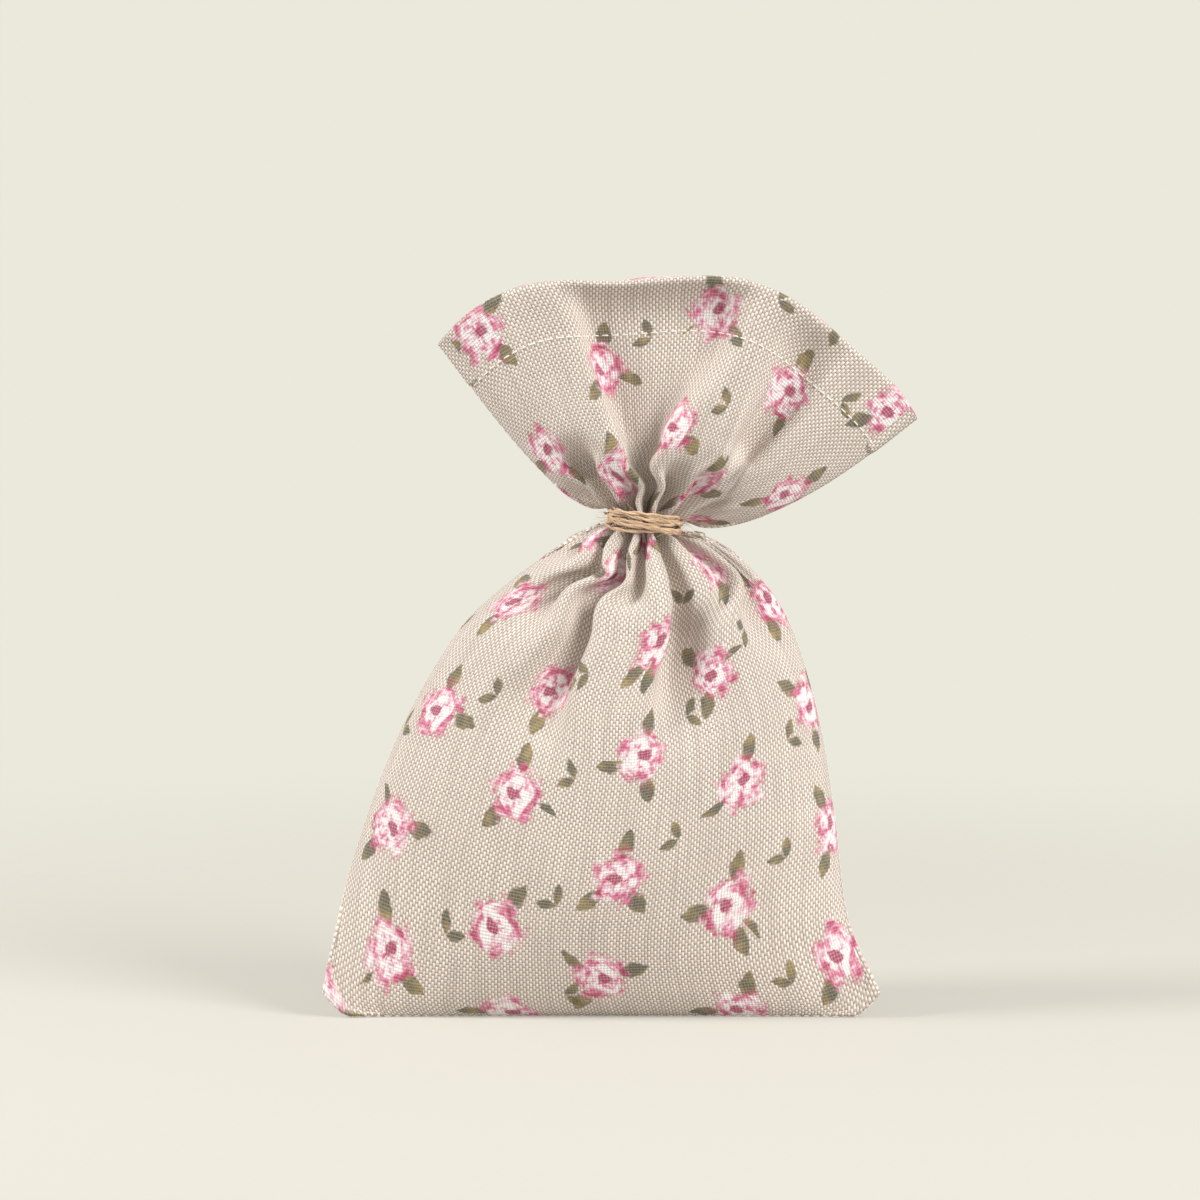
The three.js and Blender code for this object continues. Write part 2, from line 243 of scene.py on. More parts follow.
@dataclass
class MeshDraft:
    """Vertices, faces and one vector for each vertex, collected before they become a mesh."""

    vertices: list[Array] = field(default_factory=list)
    faces: list[tuple[int, ...]] = field(default_factory=list)
    marks: list[Array] = field(default_factory=list)
    count: int = 0

    def join(self, vertices: Array, faces: Sequence[tuple[int, ...]], marks: Array) -> None:
        """Adds a run of vertices, with faces that number them from 0.

        Args:
            vertices: Places in mm.
            faces: Vertex numbers of each face.
            marks: The vector that each vertex carries.
        """
        self.faces += [tuple(corner + self.count for corner in face) for face in faces]
        self.vertices.append(vertices)
        self.marks.append(marks)
        self.count += len(vertices)

    def grid(self, points: Array, marks: Array, closed: bool = False) -> None:
        """Adds a grid of quads, seen from the front where its columns run to the right and its rows upwards.

        Args:
            points: Places in mm, by row and column.
            marks: The vector of each point, by row and column.
            closed: Whether the columns go round, which makes a tube that is closed at both ends.
        """
        corners = np.arange(points[..., 0].size).reshape(points.shape[:2])
        caps = []
        if closed:
            caps = [tuple(corners[0, ::-1]), tuple(corners[-1])]
            corners = np.concatenate([corners, corners[:, :1]], axis=1)
        quads = np.stack([corners[:-1, :-1], corners[:-1, 1:], corners[1:, 1:], corners[1:, :-1]], axis=-1)
        faces = [*(tuple(quad) for quad in quads.reshape(-1, 4)), *caps]
        self.join(points.reshape(-1, 3), faces, marks.reshape(-1, 3))

    def tube(self, path: Array, radius: Array | float, sides: int, number: float = 0.0) -> None:
        """Adds a closed tube along a path, marked with its length, its turn and its number.

        Args:
            path: The tube's middle line in mm.
            radius: One radius, or one for each point of the path.
            sides: Corners of its section.
            number: A number that tells this tube from the others.
        """
        along = unit(np.gradient(path, axis=0))
        normal, across = carried_frame(along)
        turn = 2.0 * math.pi * np.arange(sides) / sides
        ring = normal[:, None] * np.cos(turn)[:, None] + across[:, None] * np.sin(turn)[:, None]
        points = path[:, None] + ring * np.broadcast_to(radius, len(path))[:, None, None]
        lengths = np.broadcast_to(arc_lengths(path)[:, None], points.shape[:2])
        rounds = np.broadcast_to(np.arange(sides) / sides, points.shape[:2])
        marks = np.stack([lengths, rounds, np.full(points.shape[:2], number)], axis=-1)
        self.grid(points, marks, closed=True)

    def build(self, name: str, mark: str, material: Material) -> Piece:
        """Makes the mesh object.

        Args:
            name: The piece's name.
            mark: The name that the vertices' vectors get in the mesh.
            material: The piece's finish.

        Returns:
            The object, linked to the scene.
        """
        mesh = bpy.data.meshes.new(name)
        faces = [[int(corner) for corner in face] for face in self.faces]
        mesh.from_pydata((np.concatenate(self.vertices) * MM).tolist(), [], faces)
        carried = mesh.attributes.new(mark, "FLOAT_VECTOR", "POINT")
        carried.data.foreach_set("vector", np.concatenate(self.marks).astype(np.float32).ravel())
        mesh.shade_smooth()
        mesh.materials.append(material)
        made = bpy.data.objects.new(name, mesh)
        bpy.context.scene.collection.objects.link(made)
        return made


def carried_frame(along: Array) -> tuple[Array, Array]:
    """Carries a square frame along a path without twisting it.

    Args:
        along: The path's direction at each point.

    Returns:
        Two unit vectors at each point, square to the path and to each other.
    """
    helper = np.eye(3)[np.argmin(np.abs(along[0]))]
    normals = [unit(np.cross(along[0], helper))]
    for heading in along[1:]:
        last = normals[-1]
        normals.append(unit(last - heading * np.dot(last, heading)))
    normal = np.array(normals)
    return normal, np.cross(along, normal)


@dataclass(frozen=True)
class Neck:
    """Where the pouch is tied, and how far the collar leans there.

    Attributes:
        centre: Middle of the tie in mm.
        right: Unit vector across the collar.
        up: Unit vector along the neck.
        bend_reach: Not used; where along the neck a piece would start to turn with the collar, and turn
            fully.
        opening_slope: Not used; how far the direction in which the back lip gives way rises, for each mm
            backwards.
        opening_reach: Not used; where along that direction the lip starts to open, and where it is fully
            open.
    """

    centre: Array
    right: Array
    up: Array
    bend_reach: Span = (-1.0, 4.0)
    opening_slope: float = 0.45
    opening_reach: Span = (22.3, 34.0)

    @classmethod
    def of(cls, joints: Sequence[dict]) -> Neck:
        """Reads the neck from the joint that opens the mouth, whose axis runs across the collar.

        Args:
            joints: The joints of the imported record.

        Returns:
            The neck's frame.
        """
        joint = next(joint for joint in joints if joint["name"] == "mouth_open")
        right = -unit(np.array(joint["axis"], float))
        return cls(np.array(joint["pos_m"]) / MM, right, np.array([-right[2], 0.0, right[0]]))

    @property
    def basis(self) -> Array:
        """The neck's own directions: across the collar, backwards and along the neck."""
        return np.stack([self.right, [0.0, 1.0, 0.0], self.up])

    def point(self, right: float, back: float, up: float) -> Array:
        """Place in mm of a point given along the neck's own directions."""
        return self.centre + right * self.right + np.array([0.0, back, 0.0]) + up * self.up

    def bend(self, piece: Piece) -> None:
        """Bakes the transform of a piece of the collar into its mesh."""
        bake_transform(piece)

    def open(self, piece: Piece) -> None:
        """Bakes the transform of a piece of the back lip into its mesh.

        Args:
            piece: The piece of cloth, or the stitches on it.
        """
        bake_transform(piece)


def fill_ramp(ramp: Node, colours: Sequence[str], low: float, high: float) -> None:
    """Spaces colours evenly on a colour ramp.

    Args:
        ramp: The ramp node.
        colours: Hex colours from the low end to the high end.
        low: Where the first colour sits.
        high: Where the last colour sits.
    """
    stops = ramp.color_ramp.elements
    while len(stops) < len(colours):
        stops.new(0.5)
    for stop, colour, place in zip(stops, colours, np.linspace(low, high, len(colours))):
        stop.position = float(place)
        stop.color = linear(colour)


@dataclass(frozen=True)
class Weave:
    """A plain weave of pale upright threads and flax-coloured cross threads.

    Attributes:
        warp_colour: Colour of the upright threads.
        weft_colour: Colour of the cross threads.
        warp_spacing: Distance between upright threads in mm.
        weft_spacing: Distance between cross threads in mm.
        weft_cover: How much more the cross threads show; 0 is as much as the upright ones.
        sharpness: How sharply a thread ends where another one covers it.
        slub_length: Length in mm of a thick or thin place in a thread.
        slub_noise: The part of the noise that makes the slubs.
        slub_shades: Darkest and palest slub.
        wander_length: Length in mm in which the threads wander aside.
        wander: How far they wander, in mm.
        gap_heights: Heights between which a gap passes into a thread.
        gap_shade: Brightness of the painted shade in a gap between threads.
        rib_height: Height on an upright thread up to which the painted line of shade beside it reaches.
        rib_shade: Brightness of that line, which is painted shade between upright threads.
    """

    warp_colour: str = "#F2E7DD"
    weft_colour: str = "#C4B09D"
    warp_spacing: float = 0.75
    weft_spacing: float = 0.72
    weft_cover: float = -0.3
    sharpness: float = 4.0
    slub_length: float = 16.0
    slub_noise: Span = (0.25, 0.75)
    slub_shades: Span = (0.84, 1.12)
    wander_length: float = 11.0
    wander: float = 0.55
    gap_heights: Span = (0.1, 0.8)
    gap_shade: float = 0.72
    rib_height: float = 0.55
    rib_shade: float = 0.50

    def build(self, tree: Tree, flat: Socket) -> tuple[Node, Node]:
        """Weaves the two sets of threads over and under each other.

        Args:
            tree: The material's node tree.
            flat: The cloth's flat coordinates in mm.

        Returns:
            The unprinted colour with painted shade in its gaps, and the height of the thread on top from 0 to
            1.
        """
        drift = add(tree, "TexNoise", {"Vector": flat, "Scale": 1.0 / self.wander_length, "Detail": 1.0})
        spread = (self.wander,) * 3
        moved = add(tree, "VectorMath:MULTIPLY_ADD", (drift.outputs["Color"], spread, flat))
        place = add(tree, "SeparateXYZ", (moved,))
        waves = []
        for axis, spacing in enumerate((self.warp_spacing, self.weft_spacing)):
            phase = add(tree, "Math:MULTIPLY", (place.outputs[axis], math.pi / spacing))
            waves.append(add(tree, "Math:SINE", (phase,)))
        over = add(tree, "Math:MULTIPLY", waves)
        under = add(tree, "Math:MULTIPLY", (over, -1.0))
        crowns = [add(tree, "Math:ABSOLUTE", (wave,)) for wave in waves]
        threads = []
        for crown, lift in zip(crowns, (over, under)):
            raised = add(tree, "Math:ADD", (crown, lift))
            threads.append(add(tree, "Math:MULTIPLY", (raised, 0.5)))
        height = add(tree, "Math:MAXIMUM", threads)
        lead = add(tree, "Math:SUBTRACT", threads[::-1])
        cover = (lead, self.sharpness, 0.5 + self.sharpness * self.weft_cover)
        weft_on_top = add(tree, "Math:MULTIPLY_ADD", cover, use_clamp=True)
        tints = []
        for colour, stretch in (
            (self.warp_colour, (1.0 / self.warp_spacing, 1.0 / self.slub_length, 1.0)),
            (self.weft_colour, (1.0 / self.slub_length, 1.0 / self.weft_spacing, 1.0)),
        ):
            strand = add(tree, "VectorMath:MULTIPLY", (moved, stretch))
            slub = add(tree, "TexNoise", {"Vector": strand, "Scale": 1.0, "Detail": 1.0})
            bright = add(tree, "MapRange", (slub, *self.slub_noise, *self.slub_shades))
            tints.append(add(tree, "VectorMath:SCALE", {0: linear(colour)[:3], "Scale": bright}))
        thread = add(tree, "MixRGB", (weft_on_top, *tints))
        # Painted shade: gaps between threads and lines between upright threads are darkened where shade
        # falls.
        depth = add(tree, "MapRange", (height, *self.gap_heights, self.gap_shade, 1.0))
        rib_painted_shade = add(tree, "MapRange", (crowns[0], 0.0, self.rib_height, self.rib_shade, 1.0))
        shade = add(tree, "Math:MULTIPLY", (depth, rib_painted_shade))
        return add(tree, "VectorMath:SCALE", {0: thread, "Scale": shade}), height


@dataclass(frozen=True)
class PrintBed:
    """What the print is laid on.

    Attributes:
        tree: The material's node tree.
        flat: The cloth's flat coordinates in mm.
        height: The height of the thread on top, from 0 to 1.
        ragged: A number from -0.5 to 0.5 that makes the edges of the ink ragged.
    """

    tree: Tree
    flat: Socket
    height: Node
    ragged: Node


@dataclass(frozen=True)
class Motif:
    """One repeat of a printed motif, in its own frame.

    Attributes:
        place: Place from the motif's middle, turned its own way.
        distance: Distance from the middle in mm.
        angle: Angle round the middle.
        cell: Number of the repeat, across and up.
        chance: A random number for each repeat.
    """

    place: Node
    distance: Socket
    angle: Node
    cell: Node
    chance: Node


@dataclass(frozen=True)
class PrintedCanvas:
    """Linen and cotton canvas, woven plain and printed.

    Its threads show as columns of light grains with dark lines of painted shade between them. The dry fibres
    give no gloss, only a soft sheen, and the print sits on the threads and breaks at the gaps. Lengths are in
    mm, and angles in radians. An edge is how fast the ink fills in for each mm from an outline, and how full
    it is there.

    Attributes:
        weave: The unprinted cloth.
        thread_relief: How far the threads stand out.
        ink_heights: Heights of a thread between which it takes up more ink.
        ink_cover: How much ink it takes up there.
        ragged_length: Size of the ragged places at the edges of the ink.
        motif_spacing: Distance from one repeat to the next.
        motif_shift: How far a repeat may lie off its place.
        rose_radius: Radius of a rose.
        rose_ragged: How ragged its outline is.
        rose_edge: Edge of its ink.
        petals: Petals of its outline.
        petal_depth: How far a petal stands out.
        petal_length: Length of a brush stroke on the petals.
        petal_turn: How finely the strokes vary round the middle.
        petal_noise: The part of the noise that makes the strokes.
        petal_rings: Distances from the middle between which the strokes get darker.
        petal_tones: How much paler or darker they are there.
        petal_stops: Tones of the first and the last of the petals' colours.
        petal_colours: Colours of the petals, from pale to dark.
        chance_spread: How far apart the noise of two roses is.
        heart_offset: Place of the dark heart in a rose.
        heart_radius: Half the heart's width.
        heart_squash: How much narrower it is each way.
        heart_ragged: How ragged its outline is.
        heart_edge: Edge of its ink.
        heart_colour: Colour of the heart.
        leaves: How many leaves a rose can have.
        leaf_gaps: Share of those that are left out.
        leaf_reach: Distance of a leaf's middle from the rose's.
        leaf_size: Half a leaf's length and half its width.
        leaf_swing: The angle in which its place varies.
        leaf_edge: Edge of its ink.
        leaf_patches: Patches of colour in half a leaf's width.
        leaf_stops: Tones of the first and the last of the leaves' colours.
        leaf_colours: Colours of the leaves.
        sprig_start: Where the sprigs' layout starts, in shares of the spacing.
        sprig_reach: Distance of a sprig's leaf from its middle.
        sprig_size: Half the leaf's length and half its width.
        sprig_angle: Half the angle between the two leaves.
        sprig_gaps: Share of the sprigs that are left out.
    """

    weave: Weave = Weave()
    thread_relief: float = 0.22
    ink_heights: Span = (0.15, 0.75)
    ink_cover: Span = (0.62, 0.95)
    ragged_length: float = 2.0
    motif_spacing: float = 28.0
    motif_shift: float = 6.0
    rose_radius: float = 6.6
    rose_ragged: float = 9.0
    rose_edge: Span = (0.5, 0.25)
    petals: int = 5
    petal_depth: float = 0.7
    petal_length: float = 1.9
    petal_turn: float = 1.5
    petal_noise: Span = (0.3, 0.7)
    petal_rings: Span = (2.6, 5.6)
    petal_tones: Span = (-0.25, 0.1)
    petal_stops: Span = (0.15, 0.95)
    petal_colours: tuple[str, ...] = ("#FAF3F0", "#EFCFD7", "#DE87A4", "#C9507C", "#AE3560")
    chance_spread: float = 40.0
    heart_offset: Triple = (0.9, 0.5, 0.0)
    heart_radius: float = 2.0
    heart_squash: Triple = (1.0, 1.5, 1.0)
    heart_ragged: float = 3.0
    heart_edge: Span = (1.4, 0.4)
    heart_colour: str = "#A33458"
    leaves: int = 3
    leaf_gaps: float = 0.25
    leaf_reach: float = 8.2
    leaf_size: Span = (3.9, 2.0)
    leaf_swing: float = 0.9
    leaf_edge: Span = (2.0, 0.4)
    leaf_patches: float = 0.45
    leaf_stops: Span = (0.38, 0.66)
    leaf_colours: tuple[str, ...] = ("#54523F", "#655D40", "#817045", "#9E8850")
    sprig_start: Span = (0.5, 0.25)
    sprig_reach: float = 2.6
    sprig_size: Span = (2.6, 1.25)
    sprig_angle: float = 0.75
    sprig_gaps: float = 0.35

    def build(self) -> Material:
        """Makes the canvas material, woven and printed by the cloth's flat coordinates."""
        matt = {"Roughness": 0.9, "Specular IOR Level": 0.2, "Sheen Weight": 0.12, "Sheen Roughness": 0.6}
        material, tree, surface = start_material("linen_canvas_woven_printed", matt)
        flat = add(tree, "Attribute", attribute_name=FLAT).outputs["Vector"]
        ground, height = self.weave.build(tree, flat)
        noise = add(tree, "TexNoise", {"Vector": flat, "Scale": 1.0 / self.ragged_length, "Detail": 3.0})
        bed = PrintBed(tree, flat, height, add(tree, "Math:SUBTRACT", (noise, 0.5)))
        printed = self.roses(bed, self.sprigs(bed, ground))
        bump = add(tree, "Bump", {"Height": height, "Distance": self.thread_relief * MM, "Strength": 0.8})
        tree.links.new(printed.outputs[0], surface.inputs["Base Color"])
        tree.links.new(bump.outputs[0], surface.inputs["Normal"])
        return material

    def motif(self, bed: PrintBed, start: Triple) -> Motif:
        """Repeats a motif in a half-drop layout, each copy a little off its place and turned its own way.

        Args:
            bed: What is printed on.
            start: Where the layout starts, in mm.

        Returns:
            The motif's own frame.
        """
        tree, size = bed.tree, self.motif_spacing
        placed = add(tree, "VectorMath:SUBTRACT", (bed.flat, start))
        scaled = add(tree, "VectorMath:SCALE", {0: placed, "Scale": 1.0 / size})
        cells = add(tree, "SeparateXYZ", (scaled,))
        column = add(tree, "Math:FLOOR", (cells.outputs[0],))
        odd = add(tree, "Math:FLOORED_MODULO", (column, 2.0))
        dropped = add(tree, "Math:MULTIPLY_ADD", (odd, 0.5, cells.outputs[1]))
        cell = add(tree, "CombineXYZ", (cells.outputs[0], dropped))
        corner = add(tree, "VectorMath:FLOOR", (cell,))
        chance = add(tree, "TexWhiteNoise", {"Vector": corner}, noise_dimensions="2D")
        inside = add(tree, "VectorMath:FRACTION", (cell,))
        shift = self.motif_shift / size
        offset = add(tree, "VectorMath:MULTIPLY", (chance.outputs["Color"], (shift, shift, 0.0)))
        middle = 0.5 - 0.5 * shift
        place = add(tree, "VectorMath:SUBTRACT", (inside, (middle, middle, 0.0)))
        place = add(tree, "VectorMath:SUBTRACT", (place, offset))
        place = add(tree, "VectorMath:MULTIPLY", (place, (size, size, 0.0)))
        turn = add(tree, "Math:MULTIPLY", (chance, 2.0 * math.pi))
        turned = add(tree, "VectorRotate", {"Vector": place, "Angle": turn}, rotation_type="Z_AXIS")
        axes = add(tree, "SeparateXYZ", (turned,))
        angle = add(tree, "Math:ARCTAN2", (axes.outputs[1], axes.outputs[0]))
        distance = add(tree, "VectorMath:LENGTH", (turned,)).outputs["Value"]
        return Motif(turned, distance, angle, corner, chance)

    def leaf(self, bed: PrintBed, motif: Motif, angle: Node, reach: float, size: Span) -> Node:
        """Draws a pointed leaf that lies along the direction where the angle is 0.

        Args:
            bed: What is printed on.
            motif: The motif that the leaf belongs to.
            angle: The angle from the leaf's own direction.
            reach: Distance from the motif's middle to the leaf's, in mm.
            size: Half the leaf's length and half its width, in mm.

        Returns:
            How much of the leaf covers the cloth, from 0 to 1.
        """
        tree = bed.tree
        half_length, half_width = size
        along = add(tree, "Math:COSINE", (angle,))
        along = add(tree, "Math:MULTIPLY_ADD", (along, motif.distance, -reach))
        aside = add(tree, "Math:SINE", (angle,))
        aside = add(tree, "Math:MULTIPLY", (aside, motif.distance))
        aside = add(tree, "Math:ABSOLUTE", (aside,))
        part = add(tree, "Math:MULTIPLY", (along, 1.0 / half_length))
        taper = add(tree, "Math:MULTIPLY", (part, part))
        outline = add(tree, "Math:MULTIPLY_ADD", (taper, -half_width, half_width))
        outline = add(tree, "Math:MULTIPLY_ADD", (bed.ragged, half_width, outline))
        inside = add(tree, "Math:SUBTRACT", (outline, aside))
        return add(tree, "Math:MULTIPLY_ADD", (inside, *self.leaf_edge), use_clamp=True)

    def ink(self, bed: PrintBed, under: Node, colour: object, cover: Node) -> Node:
        """Prints a colour on the cloth, thin where a thread dips.

        Args:
            bed: What is printed on.
            under: Its colour so far.
            colour: The ink's colour, as a value or a node.
            cover: How much ink there is, from 0 to 1.

        Returns:
            The printed colour.
        """
        taken = add(bed.tree, "MapRange", (bed.height, *self.ink_heights, *self.ink_cover))
        amount = add(bed.tree, "Math:MULTIPLY", (cover, taken))
        return add(bed.tree, "MixRGB", (amount, under, colour))

    def leaf_tint(self, bed: PrintBed) -> Node:
        """Makes an olive that runs into grey green and ochre, as brushed leaves do.

        Args:
            bed: What is printed on.

        Returns:
            The leaves' colour.
        """
        scale = self.leaf_patches / self.leaf_size[1]
        patches = add(bed.tree, "TexNoise", {"Vector": bed.flat, "Scale": scale, "Detail": 3.0})
        ramp = add(bed.tree, "ValToRGB", (patches,))
        fill_ramp(ramp, self.leaf_colours, *self.leaf_stops)
        return ramp

    def sprigs(self, bed: PrintBed, under: Node) -> Node:
        """Prints pairs of small leaves in the spaces between the roses.

        Args:
            bed: What is printed on.
            under: Its colour so far.

        Returns:
            The printed colour.
        """
        across, up = self.sprig_start
        motif = self.motif(bed, (across * self.motif_spacing, up * self.motif_spacing, 0.0))
        mirrored = add(bed.tree, "Math:ABSOLUTE", (motif.angle,))
        angle = add(bed.tree, "Math:SUBTRACT", (mirrored, self.sprig_angle))
        cover = self.leaf(bed, motif, angle, self.sprig_reach, self.sprig_size)
        kept = add(bed.tree, "Math:GREATER_THAN", (motif.chance, self.sprig_gaps))
        cover = add(bed.tree, "Math:MULTIPLY", (cover, kept))
        return self.ink(bed, under, self.leaf_tint(bed), cover)

    def roses(self, bed: PrintBed, under: Node) -> Node:
        """Prints small roses, each with some leaves round it.

        Args:
            bed: What is printed on.
            under: Its colour so far.

        Returns:
            The printed colour.
        """
        tree = bed.tree
        motif = self.motif(bed, (0.0, 0.0, 0.0))
        printed = self.ink(bed, under, self.leaf_tint(bed), self.rose_leaves(bed, motif))

        scallop = add(tree, "Math:MULTIPLY", (motif.angle, float(self.petals)))
        scallop = add(tree, "Math:COSINE", (scallop,))
        rim = add(tree, "Math:MULTIPLY_ADD", (scallop, self.petal_depth, self.rose_radius))
        rim = add(tree, "Math:MULTIPLY_ADD", (bed.ragged, self.rose_ragged, rim))
        inside = add(tree, "Math:SUBTRACT", (rim, motif.distance))
        cover = add(tree, "Math:MULTIPLY_ADD", (inside, *self.rose_edge), use_clamp=True)
        printed = self.ink(bed, printed, self.petal_strokes(bed, motif), cover)

        heart = add(tree, "VectorMath:SUBTRACT", (motif.place, self.heart_offset))
        heart = add(tree, "VectorMath:MULTIPLY", (heart, self.heart_squash))
        away = add(tree, "VectorMath:LENGTH", (heart,)).outputs["Value"]
        rim = add(tree, "Math:MULTIPLY_ADD", (bed.ragged, self.heart_ragged, self.heart_radius))
        inside = add(tree, "Math:SUBTRACT", (rim, away))
        cover = add(tree, "Math:MULTIPLY_ADD", (inside, *self.heart_edge), use_clamp=True)
        return self.ink(bed, printed, linear(self.heart_colour), cover)

    def rose_leaves(self, bed: PrintBed, motif: Motif) -> Node:
        """Puts leaves round a rose, one in each sector, some of them left out.

        Args:
            bed: What is printed on.
            motif: The rose.

        Returns:
            How much of a leaf covers the cloth, from 0 to 1.
        """
        tree = bed.tree
        sector = 2.0 * math.pi / self.leaves
        turns = add(tree, "Math:MULTIPLY_ADD", (motif.angle, 1.0 / sector, float(self.leaves)))
        number = add(tree, "Math:FLOOR", (turns,))
        lifted = add(tree, "CombineXYZ", {2: number})
        one_of = add(tree, "VectorMath:ADD", (motif.cell, lifted))
        chance = add(tree, "TexWhiteNoise", {"Vector": one_of})
        part = add(tree, "Math:FRACT", (turns,))
        angle = add(tree, "Math:MULTIPLY_ADD", (part, sector, -0.5 * sector))
        own = add(tree, "SeparateXYZ", (chance.outputs["Color"],))
        swing = add(tree, "Math:MULTIPLY_ADD", (own, self.leaf_swing, -0.5 * self.leaf_swing))
        angle = add(tree, "Math:ADD", (angle, swing))
        cover = self.leaf(bed, motif, angle, self.leaf_reach, self.leaf_size)
        kept = add(tree, "Math:GREATER_THAN", (chance, self.leaf_gaps))
        return add(tree, "Math:MULTIPLY", (cover, kept))

    def petal_strokes(self, bed: PrintBed, motif: Motif) -> Node:
        """Colours a rose's petals with strokes that bend round its middle, pale inside and pink outside.

        Args:
            bed: What is printed on.
            motif: The rose.

        Returns:
            The petals' colour.
        """
        tree = bed.tree
        heading = add(tree, "VectorMath:NORMALIZE", (motif.place,))
        heading = add(tree, "VectorMath:SCALE", {0: heading, "Scale": self.petal_turn})
        own = add(tree, "Math:MULTIPLY", (motif.chance, self.chance_spread))
        out = add(tree, "Math:MULTIPLY_ADD", (motif.distance, 1.0 / self.petal_length, own))
        along = add(tree, "CombineXYZ", {2: out})
        brushed = add(tree, "VectorMath:ADD", (heading, along))
        strokes = add(tree, "TexNoise", {"Vector": brushed, "Scale": 1.0, "Detail": 2.0, "Roughness": 0.6})
        tone = add(tree, "MapRange", (strokes, *self.petal_noise, 0.0, 1.0))
        outer = add(tree, "MapRange", (motif.distance, *self.petal_rings, *self.petal_tones))
        tone = add(tree, "Math:ADD", (tone, outer))
        ramp = add(tree, "ValToRGB", (tone,))
        fill_ramp(ramp, self.petal_colours, *self.petal_stops)
        return ramp


@dataclass(frozen=True)
class SpunStrand:
    """A matt strand of spun fibre, streaked along its length.

    Attributes:
        name: The material's name.
        colours: Hex colours of its fibres, from dark to pale.
        fibre_length: How long a streak is, in mm.
        fibres_round: How many streaks there are round the strand.
        relief: How far the fibres stand out, in mm.
        strand_spread: How far apart the noise of two strands is.
        stops: Tones of the first and the last colour.
    """

    name: str
    colours: tuple[str, ...]
    fibre_length: float
    fibres_round: float
    relief: float
    strand_spread: float = 7.0
    stops: Span = (0.3, 0.7)

    def build(self) -> Material:
        """Makes the material, streaked by the strand's own length and turn."""
        matt = {"Roughness": 0.92, "Specular IOR Level": 0.15, "Sheen Weight": 0.1}
        material, tree, surface = start_material(self.name, matt)
        strand = add(tree, "Attribute", attribute_name=STRAND).outputs["Vector"]
        stretch = (1.0 / self.fibre_length, self.fibres_round, self.strand_spread)
        fibres = add(tree, "VectorMath:MULTIPLY", (strand, stretch))
        streaks = add(tree, "TexNoise", {"Vector": fibres, "Scale": 1.0, "Detail": 3.0, "Roughness": 0.65})
        ramp = add(tree, "ValToRGB", (streaks,))
        fill_ramp(ramp, self.colours, *self.stops)
        bump = add(tree, "Bump", {"Height": streaks, "Distance": self.relief * MM, "Strength": 0.7})
        tree.links.new(ramp.outputs[0], surface.inputs["Base Color"])
        tree.links.new(bump.outputs[0], surface.inputs["Normal"])
        return material


@dataclass(frozen=True)
class DriedBuds:
    """Dried flower buds, loose and packed: dull grains of mauve and grey with rounded tops.

    Attributes:
        bud_size: Size of a bud in mm.
        colours: Hex colours of the buds.
        stops: Tones of the first and the last colour.
    """

    bud_size: float = 2.6
    colours: tuple[str, ...] = ("#5B5263", "#857A8E", "#A59CA3")
    stops: Span = (0.1, 0.9)

    def build(self) -> Material:
        """Makes the material of the filling."""
        material, tree, surface = start_material("dried_buds_packed", {"Roughness": 0.95})
        place = add(tree, "NewGeometry").outputs["Position"]
        grains = add(tree, "TexVoronoi", {"Vector": place, "Scale": 1.0 / (self.bud_size * MM)})
        ramp = add(tree, "ValToRGB", (add(tree, "SeparateXYZ", (grains.outputs["Color"],)),))
        fill_ramp(ramp, self.colours, *self.stops)
        round_top = add(tree, "Math:SUBTRACT", (1.0, grains.outputs["Distance"]))
        bump = add(tree, "Bump", {"Height": round_top, "Distance": 0.5 * self.bud_size * MM})
        tree.links.new(ramp.outputs[0], surface.inputs["Base Color"])
        tree.links.new(bump.outputs[0], surface.inputs["Normal"])
        return material


@dataclass(frozen=True)
class Arm:
    """One arm of a fold, from the tie to where it runs out.

    Attributes:
        across: Its place away from the tie, between the left seam at 0 and the right seam at 1.
        length: How far it reaches from the tie, in mm.
        half: Half its width away from the tie, as a share of the panel.
        lean: How far its bottom lies to the right, from -1 to 1, which makes its right side the steeper one.
        floor: Share of its width that is a flat floor.
        strength: How strong it is at its end, next to the other folds.
        opens: Share of its length in which it reaches its full width.
        lasts: Share of its length along which it doesn't fade.
    """

    across: float
    length: float
    half: float = 0.10
    lean: float = 0.0
    floor: float = 0.0
    strength: float = 1.0
    opens: float = 0.6
    lasts: float = 0.4


@dataclass(frozen=True)
class Fold:
    """A fold that runs both ways from the tie."""

    below: Arm
    above: Arm


@dataclass(frozen=True)
class Link:
    """A spring between each point of the cloth and the point some rows and columns on.

    Attributes:
        rows: Rows from one end to the other.
        columns: Columns from one end to the other.
        pull: How much of a stretch is taken back at each pass.
        push: How much of a shortening is taken back at each pass.
    """

    rows: int
    columns: int
    pull: float
    push: float

    @property
    def bends(self) -> bool:
        """Whether the spring spans a bend, and so only resists folding."""
        return self.rows > 1 or self.columns > 1


